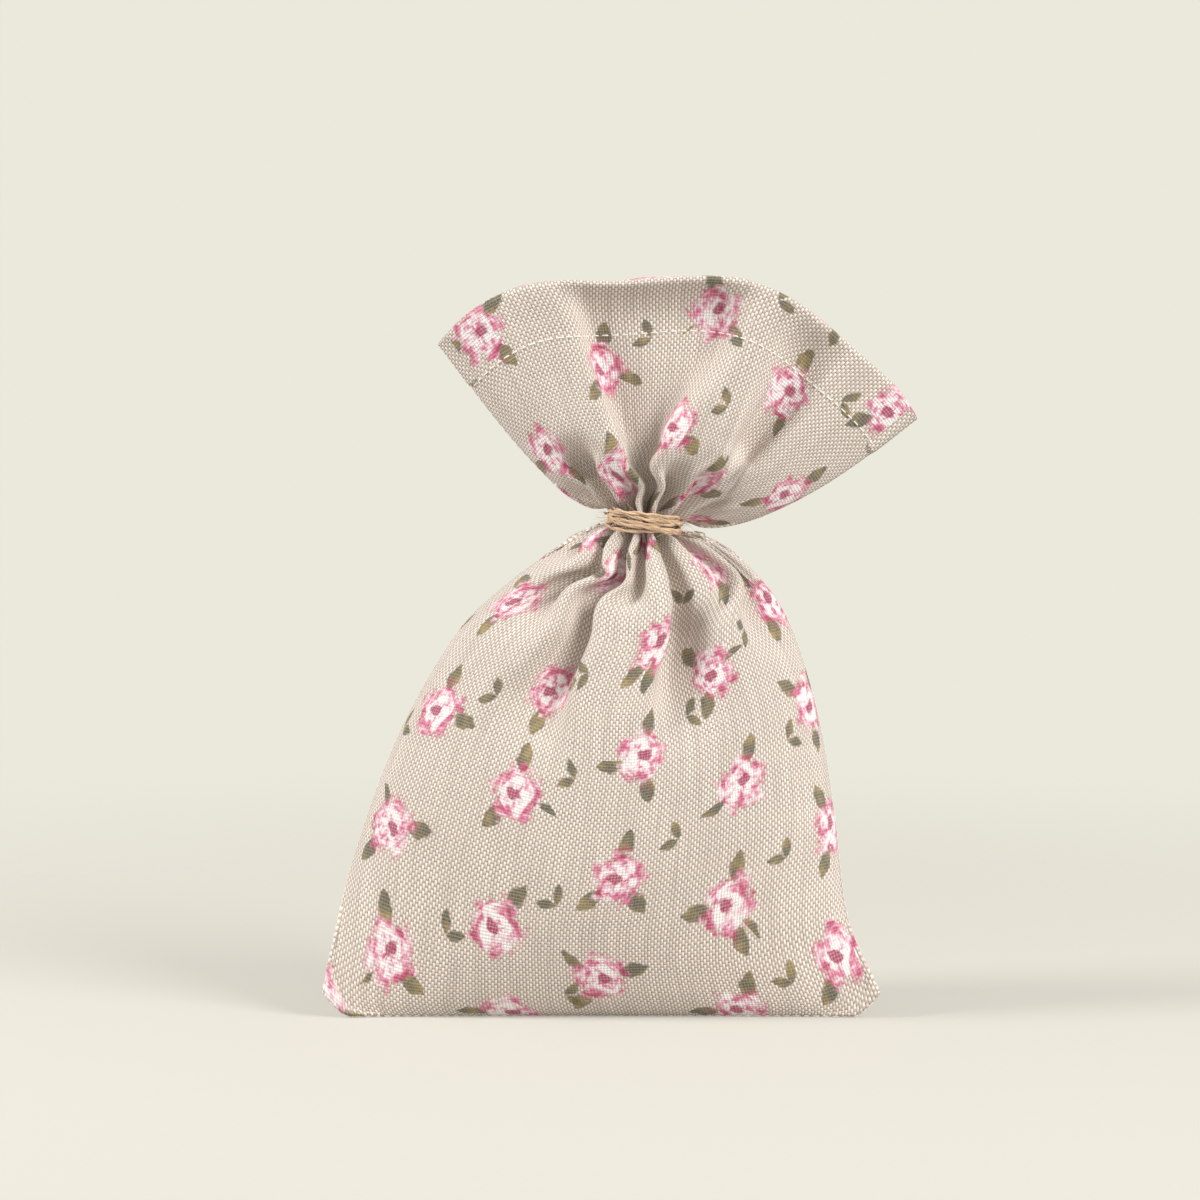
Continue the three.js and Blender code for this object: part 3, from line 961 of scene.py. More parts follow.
@dataclass
class PouchCloth:
    """The sewn tube of canvas: two panels joined at the sides, tied at the neck and fanned out above it.

    The tube is a grid whose columns run once round it, front panel first, and whose rows run from the bottom
    seam to the mouth. It is laid out with its spare width tucked into folds, and then settled as cloth.

    Lengths are in mm and angles in radians. A share runs up the body to the tie, or up the collar from it. A
    hold is how much of the way back to its laid-out place a point takes at a time.

    Attributes:
        neck: Where the tube is tied.
        width: Width of one panel, cut and sewn.
        height: Height of a panel from the bottom seam to the mouth.
        tie_left: Height of the tie along the left seam of the flat cloth.
        tie_right: Height of the tie along the right seam.
        back_ease: How much longer the back is, because it also covers the underside.
        columns: Columns of the grid on one panel.
        body_rows: Rows from the bottom seam to the tie.
        collar_rows: Rows from the tie to the mouth.
        tie_radius: Radius of the gathered cloth in the tie.
        tie_half_height: Half the height of the tie.
        belly: Half the depth of the filled pouch.
        belly_level: Height at which it is that deep.
        belly_power: Power of the belly's rise; a smaller one is fuller low down.
        base_half: Half the depth at the floor.
        floor_gap: Height of the bottom seam.
        floor_clear: Least height of the cloth.
        ear_forward: How far the bottom corners lie forwards.
        ear_rise: How far they turn up.
        ear_share: Share of half the width that turns up.
        ear_level: Height at which the side seams are back in the middle.
        ear_powers: Powers of the corners' turn upwards and sweep forwards.
        ear_reach: Share of the body in which their form fades.
        crown_powers: Powers of the swell from seam to seam, at the bottom and above.
        crown_reach: Share of the body in which the one passes into the other.
        slope_reach: Shares between which the rows take on the slope of the tie.
        axis_reach: Share from which the folds turn towards the neck's axis.
        body_room: Least room for a fold, and the share of the depth that it may take.
        left_seam: Points of the left seam, across and up, from its corner to the tie.
        right_seam: Points of the right seam.
        fold_half: Half the width of a fold in the tie, as a share of the panel.
        fold_drift: Distance from the tie in which a fold reaches its own place.
        faintest_fold: Strength below which a fold no longer parts the cloth.
        front_folds: Folds of the front panel from left to right.
        back_folds: Folds of the back panel.
        steepest_fold: The steepest that the cloth may head into a fold at the tie.
        steepest_turn: The turn that no cloth passes.
        body_easing: How much gentler the folds get, and the distances below the tie between which they do.
        collar_easing: The same above the tie.
        fan_angles: How far the collar fans out at its left and right seam.
        fan_bows: How much further it heads out at the tie.
        fan_bow_lengths: Lengths in which that wears off.
        lip_lengths: Length of the collar at places from the left seam at -1 to the right seam at 1.
        lip_depth: Half the depth of the open mouth.
        lip_closing: Share of that depth that is lost at the rim.
        lip_power: Power of the mouth's lens form.
        open_reach: Share in which the ring of the tie opens into that form.
        collar_room: Least room for a fold, and the share of the depth that it may take.
        lip_gap: Least distance of a lip from the middle plane.
        lip_gap_columns: Columns from a seam in which it is reached.
        lip_gap_row: Row above the tie from which it is kept.
        passes: How many steps the cloth settles for.
        rounds: How often its springs are relaxed in a step.
        links: The springs.
        bend_rows: Rows from the tie between which the cloth begins to resist bending.
        shape_hold: Hold of the body.
        collar_hold: Hold of the collar.
        fold_hold: Hold that is added near the tie.
        fold_rows: Rows from the tie between which it fades.
        tie_hold: Hold that is added next to the tie.
        tie_rows: Rows from the tie between which it fades.
        seam_hold: Hold of the side seams.
        damping: Share of its speed that the cloth keeps from step to step.
        filling_push: How far the filling pushes in a step.
        push_fade: Share of that push that is lost higher up, and the heights between which it is.
        press_shares: How much an ironing evens out near the tie, and what is added away from it.
        press_rows: Rows from the tie between which it is added.
        collar_press: Share of that which the collar gets.
        press_times: How often the cloth is ironed.
        start: Points of the laid-out tube, by row and column.
        points: Points of the settled tube.
    """

    neck: Neck
    width: float = 132.0
    height: float = 188.0
    tie_left: float = 133.0
    tie_right: float = 124.0
    back_ease: float = 1.08
    columns: int = 66
    body_rows: int = 64
    collar_rows: int = 32
    tie_radius: float = 8.3
    tie_half_height: float = 2.2
    belly: float = 22.0
    belly_level: float = 40.0
    belly_power: float = 0.6
    base_half: float = 9.5
    floor_gap: float = 0.3
    floor_clear: float = 0.05
    ear_forward: float = 11.0
    ear_rise: float = 6.0
    ear_share: float = 0.09
    ear_level: float = 48.0
    ear_powers: Span = (1.3, 2.5)
    ear_reach: float = 0.3
    crown_powers: Span = (1.5, 1.0)
    crown_reach: float = 0.35
    slope_reach: Span = (0.3, 0.6)
    axis_reach: float = 0.8
    body_room: Span = (0.5, 0.9)
    left_seam: tuple[Span, ...] = (
        (-68.6, 6.4), (-61.5, 36.1), (-50.6, 65.9), (-37.1, 89.6), (-26.5, 100.4), (-15.9, 108.2),
        (-0.5, 118.0))
    right_seam: tuple[Span, ...] = (
        (63.6, 5.9), (55.8, 23.1), (52.7, 48.0), (48.0, 74.2), (39.7, 96.8), (26.7, 110.3), (16.1, 115.5))
    fold_half: float = 0.075
    fold_drift: float = 24.0
    faintest_fold: float = 0.05
    front_folds: tuple[Fold, ...] = (
        Fold(Arm(0.06, 22), Arm(0.06, 14)),
        Fold(Arm(0.18, 54, lean=0.25), Arm(0.15, 24)),
        Fold(Arm(0.34, 70, 0.12, lean=0.5, lasts=0.5), Arm(0.25, 14)),
        Fold(Arm(0.45, 24, 0.06, lasts=0.7),
             Arm(0.39, 100, 0.20, lean=-0.3, floor=0.5, opens=0.5, lasts=0.9)),
        Fold(Arm(0.625, 64, 0.13, lean=-0.45), Arm(0.58, 18)),
        Fold(Arm(0.77, 31, 0.09, lean=0.3, lasts=0.75), Arm(0.70, 26)),
        Fold(Arm(0.90, 46), Arm(0.75, 90, strength=0.35)))
    back_folds: tuple[Fold, ...] = (
        Fold(Arm(0.07, 30), Arm(0.07, 18)),
        Fold(Arm(0.22, 66, 0.12, lean=-0.3), Arm(0.22, 60, 0.12)),
        Fold(Arm(0.36, 40), Arm(0.36, 16)),
        Fold(Arm(0.50, 78, 0.12, lean=0.3), Arm(0.50, 110, 0.14)),
        Fold(Arm(0.64, 30), Arm(0.64, 22)),
        Fold(Arm(0.79, 64, 0.12, lean=0.2), Arm(0.79, 60, 0.12)),
        Fold(Arm(0.94, 28), Arm(0.94, 14)))
    steepest_fold: float = 2.2
    steepest_turn: float = 1.85
    body_easing: Triple = (1.2, 15.0, 70.0)
    collar_easing: Triple = (0.9, 8.0, 40.0)
    fan_angles: Span = (math.radians(45.0), math.radians(38.0))
    fan_bows: Span = (math.radians(40.0), math.radians(52.0))
    fan_bow_lengths: Span = (13.0, 24.0)
    lip_lengths: tuple[Span, ...] = (
        (-1.0, 58.2), (-0.6, 58.6), (-0.2, 55.4), (0.25, 60.4), (0.62, 58.8), (1.0, 63.2))
    lip_depth: float = 15.0
    lip_closing: float = 0.15
    lip_power: float = 0.7
    open_reach: float = 0.4
    collar_room: Span = (0.3, 0.86)
    lip_gap: float = 2.1
    lip_gap_columns: float = 6.0
    lip_gap_row: int = 4
    passes: int = 160
    rounds: int = 3
    links: tuple[Link, ...] = (
        Link(0, 1, 0.45, 0.12), Link(1, 0, 0.45, 0.12), Link(1, 1, 0.15, 0.12), Link(1, -1, 0.15, 0.12),
        Link(0, 2, 0.0, 0.05), Link(2, 0, 0.0, 0.05), Link(0, 4, 0.0, 0.05), Link(4, 0, 0.0, 0.05))
    bend_rows: Span = (1.0, 9.0)
    shape_hold: float = 0.05
    collar_hold: float = 0.12
    fold_hold: float = 0.08
    fold_rows: Span = (8.0, 40.0)
    tie_hold: float = 0.10
    tie_rows: Span = (2.0, 8.0)
    seam_hold: float = 0.35
    damping: float = 0.85
    filling_push: float = 0.005
    push_fade: Triple = (0.8, 70.0, 100.0)
    press_shares: Span = (0.05, 0.35)
    press_rows: Span = (8.0, 34.0)
    collar_press: float = 0.4
    press_times: int = 8
    start: Array = field(init=False)
    points: Array = field(init=False)

    @property
    def rows(self) -> int:
        """Rows of the grid, the bottom seam and the mouth included."""
        return self.body_rows + self.collar_rows + 1

    def across(self) -> Array:
        """Place of each column between the left seam at -1 and the right seam at 1."""
        column = np.arange(2 * self.columns) / self.columns
        return np.where(column <= 1.0, 2.0 * column - 1.0, 3.0 - 2.0 * column)

    def flat(self) -> tuple[Array, Array]:
        """Gives each point's place on the flat cloth in mm.

        Returns:
            Distance round the tube from the left seam, and height above the bottom seam.
        """
        middle, half = 0.5 * (self.tie_left + self.tie_right), 0.5 * (self.tie_right - self.tie_left)
        tie = middle + half * self.across()
        row = np.arange(self.rows)[:, None]
        below = tie * row / self.body_rows
        above = tie + (self.height - tie) * (row - self.body_rows) / self.collar_rows
        level = np.where(row <= self.body_rows, below, above)
        around = np.arange(2 * self.columns) * self.width / self.columns
        return np.broadcast_to(around, level.shape), level

    def half_depth(self, level: Array) -> Array:
        """Works out how far a panel of the filled pouch stands off its middle plane.

        Args:
            level: Heights to read at.

        Returns:
            The distance at each height.
        """
        rise = np.sin(np.minimum(1.0, level / self.belly_level) * math.pi / 2) ** self.belly_power
        low = self.base_half + (self.belly - self.base_half) * rise
        top = self.neck.centre[2] + self.tie_half_height
        high = np.maximum(0.0, level - self.belly_level) / (top - self.belly_level)
        return low * np.sqrt(np.maximum(0.0, 1.0 - high**2))

    def profile(self, panel: Panel) -> Array:
        """Follows the middle of a panel from the bottom seam to the tie.

        Args:
            panel: Which panel.

        Returns:
            Depth and height at each row of the body.
        """
        level = np.linspace(0.0, self.neck.centre[2], PROFILE_POINTS)
        depth = panel.value * np.maximum(self.half_depth(level), self.tie_radius)
        line = np.stack([depth, np.maximum(level, self.floor_gap)], axis=1)
        line = np.concatenate([[[-self.base_half, self.floor_gap]], line])
        lengths = arc_lengths(line)
        return at_lengths(np.linspace(0.0, lengths[-1], self.body_rows + 1), lengths, line)

    def body_line(self, row: int, panel: Panel) -> Arrays:
        """Follows a panel from seam to seam below the tie, as it would lie without folds.

        Args:
            row: Row of the grid.
            panel: Which panel.

        Returns:
            The line, the direction into the pouch at each of its points, and how far a fold may go that way.
        """
        share = row / self.body_rows
        left = rounded(np.array(self.left_seam), self.body_rows + 1)[row]
        right = rounded(np.array(self.right_seam), self.body_rows + 1)[row]
        middle, half = 0.5 * (left + right), 0.5 * (right - left)
        centre_depth, centre_level = self.profile(panel)[row]
        turn = np.linspace(0.0, math.pi, LINE_POINTS)
        lean = -np.cos(turn)
        seam_level = middle[1] + half[1] * lean
        seam_depth = -self.ear_forward * (1.0 - smooth(seam_level, 0.0, self.ear_level))
        low, high = self.crown_powers
        crown = np.sin(turn) ** (low + (high - low) * smooth(share, 0.0, self.crown_reach))
        rising = self.ear_share + (1.0 - self.ear_share) * smooth(share, 0.0, self.ear_reach)
        rise = smooth(1.0 - np.abs(lean), 0.0, rising)
        slope = half[1] * lean * smooth(share, *self.slope_reach)
        level = seam_level * (1.0 - rise) + (centre_level + slope) * rise
        depth = seam_depth * (1.0 - crown) + centre_depth * crown
        line = np.stack([middle[0] + half[0] * lean, depth, level], axis=1)
        heading = unit(np.gradient(line, axis=0))
        inward = panel.value * np.stack([heading[:, 1], -heading[:, 0], np.zeros_like(lean)], axis=1)
        to_axis = unit(np.array([middle[0], 0.0, 0.0]) - line * [1.0, 1.0, 0.0])
        near_tie = smooth(share, self.axis_reach, 1.0)
        least, part = self.body_room
        room = np.maximum(least, part * np.abs(depth))
        return line, inward * (1.0 - near_tie) + to_axis * near_tie, room

    def collar_line(self, row: int, panel: Panel) -> Arrays:
        """Follows a panel from seam to seam above the tie, as it would lie without folds.

        Args:
            row: Rows above the tie.
            panel: Which panel.

        Returns:
            The line, the direction into the collar at each of its points, and how far a fold may go that way.
        """
        share = row / self.collar_rows
        across = np.linspace(-1.0, 1.0, LINE_POINTS)
        pairs = (self.fan_angles, self.fan_bows, self.fan_bow_lengths)
        angle, bow, bow_length = (left + 0.5 * (across + 1.0) * (right - left) for left, right in pairs)
        outline = rounded(np.array(self.lip_lengths), LINE_POINTS)
        length = np.interp(across, outline[:, 0], outline[:, 1])
        reached = np.linspace(0.0, share, FAN_STEPS)[:, None] * length
        fan = across * (angle + bow * np.exp(-reached / bow_length))
        open_share = smooth(share, 0.0, self.open_reach)
        wide = self.tie_radius * np.sin(across * math.pi / 2) + share * length * np.sin(fan).mean(axis=0)
        up = share * length * np.cos(fan).mean(axis=0)
        ring = self.tie_radius * np.cos(across * math.pi / 2)
        lens = self.lip_depth * (1.0 - self.lip_closing * share) * (1.0 - across**2) ** self.lip_power
        deep = ring * (1.0 - open_share) + lens * open_share
        axis = self.neck.centre + up[:, None] * self.neck.up
        line = axis + wide[:, None] * self.neck.right
        line[:, 1] += panel.value * deep
        straight = np.array([0.0, -panel.value, 0.0])
        inward = unit(unit(axis - line) * (1.0 - open_share) + straight * open_share)
        least, part = self.collar_room
        return line, inward, np.maximum(least, part * deep)

    def headings(self, folds: Sequence[Fold], distance: float, reach: Reach) -> Arrays:
        """Works out which way the cloth heads along a row: 0 straight on, 1 into a fold, -1 out of it.

        Args:
            folds: The panel's folds from left to right.
            distance: How far the row is from the tie, in mm.
            reach: Which way it lies from the tie.

        Returns:
            Places from 0 to 1 across the panel, the heading at each, and the places of the folds' ridges.
        """
        places = np.linspace(0.0, 1.0, FOLD_DETAIL * self.columns + 1)
        heading = np.zeros_like(places)
        edges = []
        for number, fold in enumerate(folds):
            arm = fold.below if reach is Reach.BELOW else fold.above
            part = min(1.0, distance / arm.length)
            strength = (1.0 + (arm.strength - 1.0) * part) * (1.0 - smooth(part, arm.lasts, 1.0))
            opened = smooth(part, 0.0, arm.opens)
            half = self.fold_half + (arm.half - self.fold_half) * opened
            even = (number + 0.5) / len(folds)
            middle = even + (arm.across - even) * smooth(distance, 0.0, self.fold_drift)
            side = np.where(places < middle, 1.0, -1.0)
            stretch = 1.0 + side * arm.lean * opened
            floor, lean = arm.floor * opened, arm.lean * opened
            wall = (np.abs(places - middle) / (half * stretch) - floor) / (1.0 - floor)
            heading += side * strength / stretch * np.sin(math.pi * np.clip(wall, 0.0, 1.0))
            if strength > self.faintest_fold:
                edges += [middle - half * (1.0 + lean), middle + half * (1.0 - lean)]
        ridges = 0.5 * (np.array([0.0, *edges[1::2]]) + np.array([*edges[::2], 1.0]))
        return places, heading, np.clip([0.0, *ridges[1:-1], 1.0], 0.0, 1.0)

    def tucked(self, line: Arrays, headings: Arrays, steepest: float) -> Array:
        """Lays one row of a panel along a line, with its spare width tucked into the folds.

        Args:
            line: What body_line() or collar_line() gave.
            headings: What headings() gave.
            steepest: The steepest that the cloth may turn into a fold, in radians.

        Returns:
            The row's points from the left seam to the right seam.
        """
        points, inward, room = line
        places, heading, ridges = headings
        lengths = arc_lengths(points)
        share = min(1.0, lengths[-1] / self.width)
        gentle, steep = 0.0, steepest
        for _ in range(HALVINGS):
            angle = 0.5 * (gentle + steep)
            if np.mean(np.cos(self.turns(angle * heading))) > share:
                gentle = angle
            else:
                steep = angle
        step = self.width / (len(places) - 1)
        turns = self.turns(gentle * heading)
        along = running_sum(np.cos(turns), step)
        along *= lengths[-1] / along[-1]
        depth = running_sum(np.sin(turns), step)
        depth = np.maximum(0.0, depth - np.interp(places, ridges, np.interp(ridges, places, depth)))
        columns = np.linspace(0.0, 1.0, self.columns + 1)
        along = np.interp(columns, places, along)
        limit = np.interp(along, lengths, room)
        depth = limit * np.tanh(np.interp(columns, places, depth) / limit)
        return at_lengths(along, lengths, points) + at_lengths(along, lengths, inward) * depth[:, None]

    def turns(self, angle: Array) -> Array:
        """Keeps the angles at which the cloth turns into a fold from curling it up."""
        return self.steepest_turn * np.tanh(angle / self.steepest_turn)

    def lay_out(self) -> None:
        """Lays the tube in its gathered form, row by row."""
        self.start = np.zeros((self.rows, 2 * self.columns, 3))
        half_tie = 0.5 * (self.tie_left + self.tie_right)
        for panel, folds in ((Panel.FRONT, self.front_folds), (Panel.BACK, self.back_folds)):
            for row in range(self.rows):
                if row <= self.body_rows:
                    reach, easing = Reach.BELOW, self.body_easing
                    distance = (1.0 - row / self.body_rows) * half_tie
                    line = self.body_line(row, panel)
                else:
                    reach, easing = Reach.ABOVE, self.collar_easing
                    distance = (row - self.body_rows) / self.collar_rows * (self.height - half_tie)
                    line = self.collar_line(row - self.body_rows, panel)
                gentler, near, far = easing
                steepest = self.steepest_fold - gentler * smooth(distance, near, far)
                points = self.tucked(line, self.headings(folds, distance, reach), steepest)
                if panel is Panel.FRONT:
                    self.start[row, :self.columns + 1] = points
                else:
                    self.start[row, self.columns + 1:] = points[-2:0:-1]
        self.sew_bottom()
        ring = self.start[self.body_rows].copy()
        for side in (-1, 1):
            self.start[self.body_rows + side] = ring + side * self.tie_half_height * self.neck.up
        self.points = self.start.copy()

    def sew_bottom(self) -> None:
        """Puts the first row on the bottom seam, which turns up into an ear at each corner."""
        across = self.across()
        corner = np.abs(across)
        left, right = self.left_seam[0], self.right_seam[0]
        turn, sweep = self.ear_powers
        ear = np.maximum(0.0, (corner - 1.0 + self.ear_share) / self.ear_share) ** turn
        self.start[0, :, 0] = left[0] + 0.5 * (across + 1.0) * (right[0] - left[0])
        self.start[0, :, 1] = -self.base_half - (self.ear_forward - self.base_half) * corner**sweep
        self.start[0, :, 2] = self.floor_gap + self.ear_rise * ear

    def normals(self) -> Array:
        """Unit vector out of the pouch at each point of the grid."""
        round_way = np.roll(self.points, -1, axis=1) - np.roll(self.points, 1, axis=1)
        return unit(np.cross(round_way, np.gradient(self.points, axis=0)))

    def springs(self) -> list[tuple[Link, Array, Array]]:
        """Works out the rest length and the push of every spring.

        Returns:
            Each link with its springs' rest lengths and pushes.
        """
        _, level = self.flat()
        columns = 2 * self.columns
        behind = np.arange(columns) > self.columns
        ease = np.where(behind, self.back_ease, 1.0)
        from_tie = np.abs(np.arange(self.rows) - self.body_rows)
        freedom = smooth(from_tie, *self.bend_rows)[:, None, None]
        springs = []
        for link in self.links:
            rise = (np.roll(level[link.rows:], -link.columns, axis=1) - level[:self.rows - link.rows]) * ease
            rest = np.hypot(link.columns * self.width / self.columns, rise)[..., None]
            push = np.full_like(rest, link.push)
            if link.bends:
                push *= np.minimum(freedom[:self.rows - link.rows], freedom[link.rows:])
                for before_seam in range(1, link.columns):
                    push[:, [self.columns - before_seam, columns - before_seam]] = 0.0
            springs.append((link, rest, push))
        return springs

    def settle(self) -> None:
        """Lets the laid-out tube settle as cloth, which hardly stretches, resists bending and is filled."""
        from_tie = np.abs(np.arange(self.rows) - self.body_rows)
        pinned = (from_tie <= 1) | (np.arange(self.rows) == 0)
        hold = np.full((self.rows, 2 * self.columns, 1), self.shape_hold)
        hold[self.body_rows:] = self.collar_hold
        hold += self.fold_hold * (1.0 - smooth(from_tie, *self.fold_rows))[:, None, None]
        hold += self.tie_hold * (1.0 - smooth(from_tie, *self.tie_rows))[:, None, None]
        hold[:, [0, self.columns]] = self.seam_hold
        hold[pinned] = 1.0
        filled = np.zeros((self.rows, 1, 1))
        filled[1:self.body_rows - 2] = self.filling_push
        springs = self.springs()
        lost, low, high = self.push_fade
        speed = np.zeros_like(self.points)
        for _ in range(self.passes):
            before = self.points.copy()
            fade = 1.0 - lost * smooth(before[..., 2:], low, high)
            speed = self.damping * speed + self.normals() * filled * fade
            self.points = self.points + speed
            for _ in range(self.rounds):
                self.relax(springs)
                self.points += hold * (self.start - self.points)
                self.keep_clear()
            speed = self.points - before
        self.press(hold)

    def relax(self, springs: Sequence[tuple[Link, Array, Array]]) -> None:
        """Moves every point a little towards its springs' rest lengths.

        Args:
            springs: What springs() gave.
        """
        move = np.zeros_like(self.points)
        for link, rest, push in springs:
            last = self.rows - link.rows
            gap = np.roll(self.points[link.rows:], -link.columns, axis=1) - self.points[:last]
            length = np.linalg.norm(gap, axis=2, keepdims=True)
            error = length - rest
            shift = 0.5 * np.where(error > 0.0, link.pull, push) * error * gap / np.maximum(length, 1e-6)
            move[:last] += shift
            move[link.rows:] -= np.roll(shift, link.columns, axis=1)
        self.points = self.points + move

    def keep_clear(self) -> None:
        """Keeps the cloth above the floor, and the two lips of the mouth apart."""
        self.points[..., 2] = np.maximum(self.points[..., 2], self.floor_clear)
        column = np.arange(2 * self.columns)
        from_seam = np.minimum(column % self.columns, self.columns - column % self.columns)
        gap = self.lip_gap * smooth(from_seam, 0.0, self.lip_gap_columns)
        lip = self.points[self.body_rows + self.lip_gap_row:, :, 1]
        front = column < self.columns
        lip[:, front] = np.minimum(lip[:, front], -gap[front])
        lip[:, ~front] = np.maximum(lip[:, ~front], gap[~front])

    def press(self, hold: Array) -> None:
        """Irons out ripples finer than the grid can show.

        Args:
            hold: How firmly each point is held, where 1 is fixed.
        """
        from_tie = np.abs(np.arange(self.rows) - self.body_rows)[:, None, None]
        near, added = self.press_shares
        free = np.where(hold < self.seam_hold, near + added * smooth(from_tie, *self.press_rows), 0.0)
        free[self.body_rows:] *= self.collar_press
        free[-1] = 0.0
        for _ in range(self.press_times):
            up = np.concatenate([self.points[1:], self.points[-1:]])
            down = np.concatenate([self.points[:1], self.points[:-1]])
            mean = 0.25 * (np.roll(self.points, 1, axis=1) + np.roll(self.points, -1, axis=1) + up + down)
            self.points = self.points + free * (mean - self.points)

    def panel_columns(self, panel: Panel) -> Array:
        """Columns of the grid that one panel covers, both seams included."""
        first = 0 if panel is Panel.FRONT else self.columns
        return np.arange(first, first + self.columns + 1)

    def panel_grid(self, values: Array, panel: Panel) -> Array:
        """Columns of one panel, both seams included, of a grid of values."""
        return values[:, self.panel_columns(panel) % (2 * self.columns)]


@dataclass
class CanvasPieces:
    """The canvas in pieces: each panel below the tie and each lip above it, with its hem.

    The back lip is parted a little above the tie, between its foot and the rest.
    Lengths are in mm.

    Attributes:
        cloth: The settled tube.
        material: The canvas finish.
        waist: Not used; heights between which the panels pass from the pouch to the tie.
        foot_rows: Rows of the back lip's foot.
        thickness: Thickness of the canvas.
        hem_depth: How far the hem reaches down inside the mouth.
        hem_radius: Radius of the hem's turn at the mouth.
        hem_seam_radius: Radius of that turn at the side seams.
        hem_seam_columns: Columns from a seam in which the one passes into the other.
        hem_turns: Angles at which the turn has a row of points, in degrees.
    """

    cloth: PouchCloth
    material: Material
    waist: Span = (100.0, 114.0)
    foot_rows: int = 12
    thickness: float = 0.8
    hem_depth: float = 14.0
    hem_radius: float = 0.9
    hem_seam_radius: float = 0.15
    hem_seam_columns: float = 5.0
    hem_turns: Span = (60.0, 120.0)

    def build(self) -> None:
        """Makes the pieces and hides the parts of the model that they stand for."""
        neck, tie, top = self.cloth.neck, self.cloth.body_rows, self.top
        for panel in Panel:
            name = panel.name.lower()
            below = self.sheet(f"{name}_panel_cloth", panel, 0, tie)
            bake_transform(below)
            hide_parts(f"{name}_panel", "neck_gather")
            self.declare(below)
        parting = tie + self.foot_rows
        for name, panel, first, last, move, node in (
            ("front_lip_cloth", Panel.FRONT, tie, top, neck.bend, "front_lip"),
            ("back_lip_foot_cloth", Panel.BACK, tie, parting, neck.bend, "back_lip"),
            ("back_lip_cloth", Panel.BACK, parting, top, neck.open, "back_lip"),
        ):
            lip = self.sheet(name, panel, first, last)
            move(lip)
            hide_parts(node)
            self.declare(lip)

    @property
    def top(self) -> int:
        """The row at the mouth, where a piece is hemmed."""
        return self.cloth.rows - 1

    def declare(self, piece: Piece) -> None:
        """Logs how many points a piece has before subdivision.

        Args:
            piece: The piece of canvas.
        """
        _, level = self.cloth.flat()
        log.info("%s: %d points before subdivision", piece.name, len(piece.data.vertices))

    def sheet(self, name: str, panel: Panel, first: int, last: int) -> Piece:
        """Makes one piece of canvas from rows of the tube, with a hem at the mouth.

        Args:
            name: The piece's name.
            panel: Which panel it is cut from.
            first: Its lowest row.
            last: Its highest row.

        Returns:
            The piece, smooth and as thick as the canvas.
        """
        cloth = self.cloth
        points = cloth.panel_grid(cloth.points, panel)[first:last + 1]
        level = cloth.panel_grid(cloth.flat()[1], panel)[first:last + 1]
        around = np.broadcast_to(cloth.panel_columns(panel) * cloth.width / cloth.columns, level.shape)
        marks = np.stack([around, level, np.zeros_like(level)], axis=-1)
        if last == self.top:
            turned, turned_marks = self.hem(panel, marks)
            points = np.concatenate([points, turned])
            marks = np.concatenate([marks, turned_marks])
        draft = MeshDraft()
        draft.grid(points, marks)
        piece = draft.build(name, FLAT, self.material)
        round_off = piece.modifiers.new("round_off", "SUBSURF")
        round_off.levels = 1
        round_off.render_levels = 1
        thicken = piece.modifiers.new("thicken", "SOLIDIFY")
        thicken.thickness = self.thickness * MM
        thicken.offset = -1.0
        return piece

    def hem(self, panel: Panel, marks: Array) -> tuple[Array, Array]:
        """Turns the cloth over at the mouth and leads it down inside.

        Args:
            panel: Which panel.
            marks: The flat coordinates of the rows below the turn.

        Returns:
            The turned rows and their flat coordinates.
        """
        cloth = self.cloth
        points = cloth.panel_grid(cloth.points, panel)
        normals = cloth.panel_grid(cloth.normals(), panel)
        column = np.arange(cloth.columns + 1)
        from_seam = np.minimum(column, cloth.columns - column)
        widening = self.hem_radius - self.hem_seam_radius
        radius = (self.hem_seam_radius + widening * smooth(from_seam, 0.0, self.hem_seam_columns))[:, None]
        upward = unit(points[-1] - points[-2])
        spacing = float(np.mean(marks[-1, :, 1] - marks[-2, :, 1]))
        rows, row_marks = [], []
        for turn in np.radians(self.hem_turns):
            rise = radius * (math.sin(turn) * upward - (1.0 - math.cos(turn)) * normals[-1])
            rows.append(points[-1] + rise)
            row_marks.append(marks[-1] + [0.0, self.hem_radius * turn, 0.0])
        for down in range(1, round(self.hem_depth / spacing) + 1):
            rows.append(points[-down] - 2.0 * radius * normals[-down])
            row_marks.append(marks[-1] + [0.0, self.hem_radius * math.pi + spacing * (down - 1), 0.0])
        return np.array(rows), np.array(row_marks)


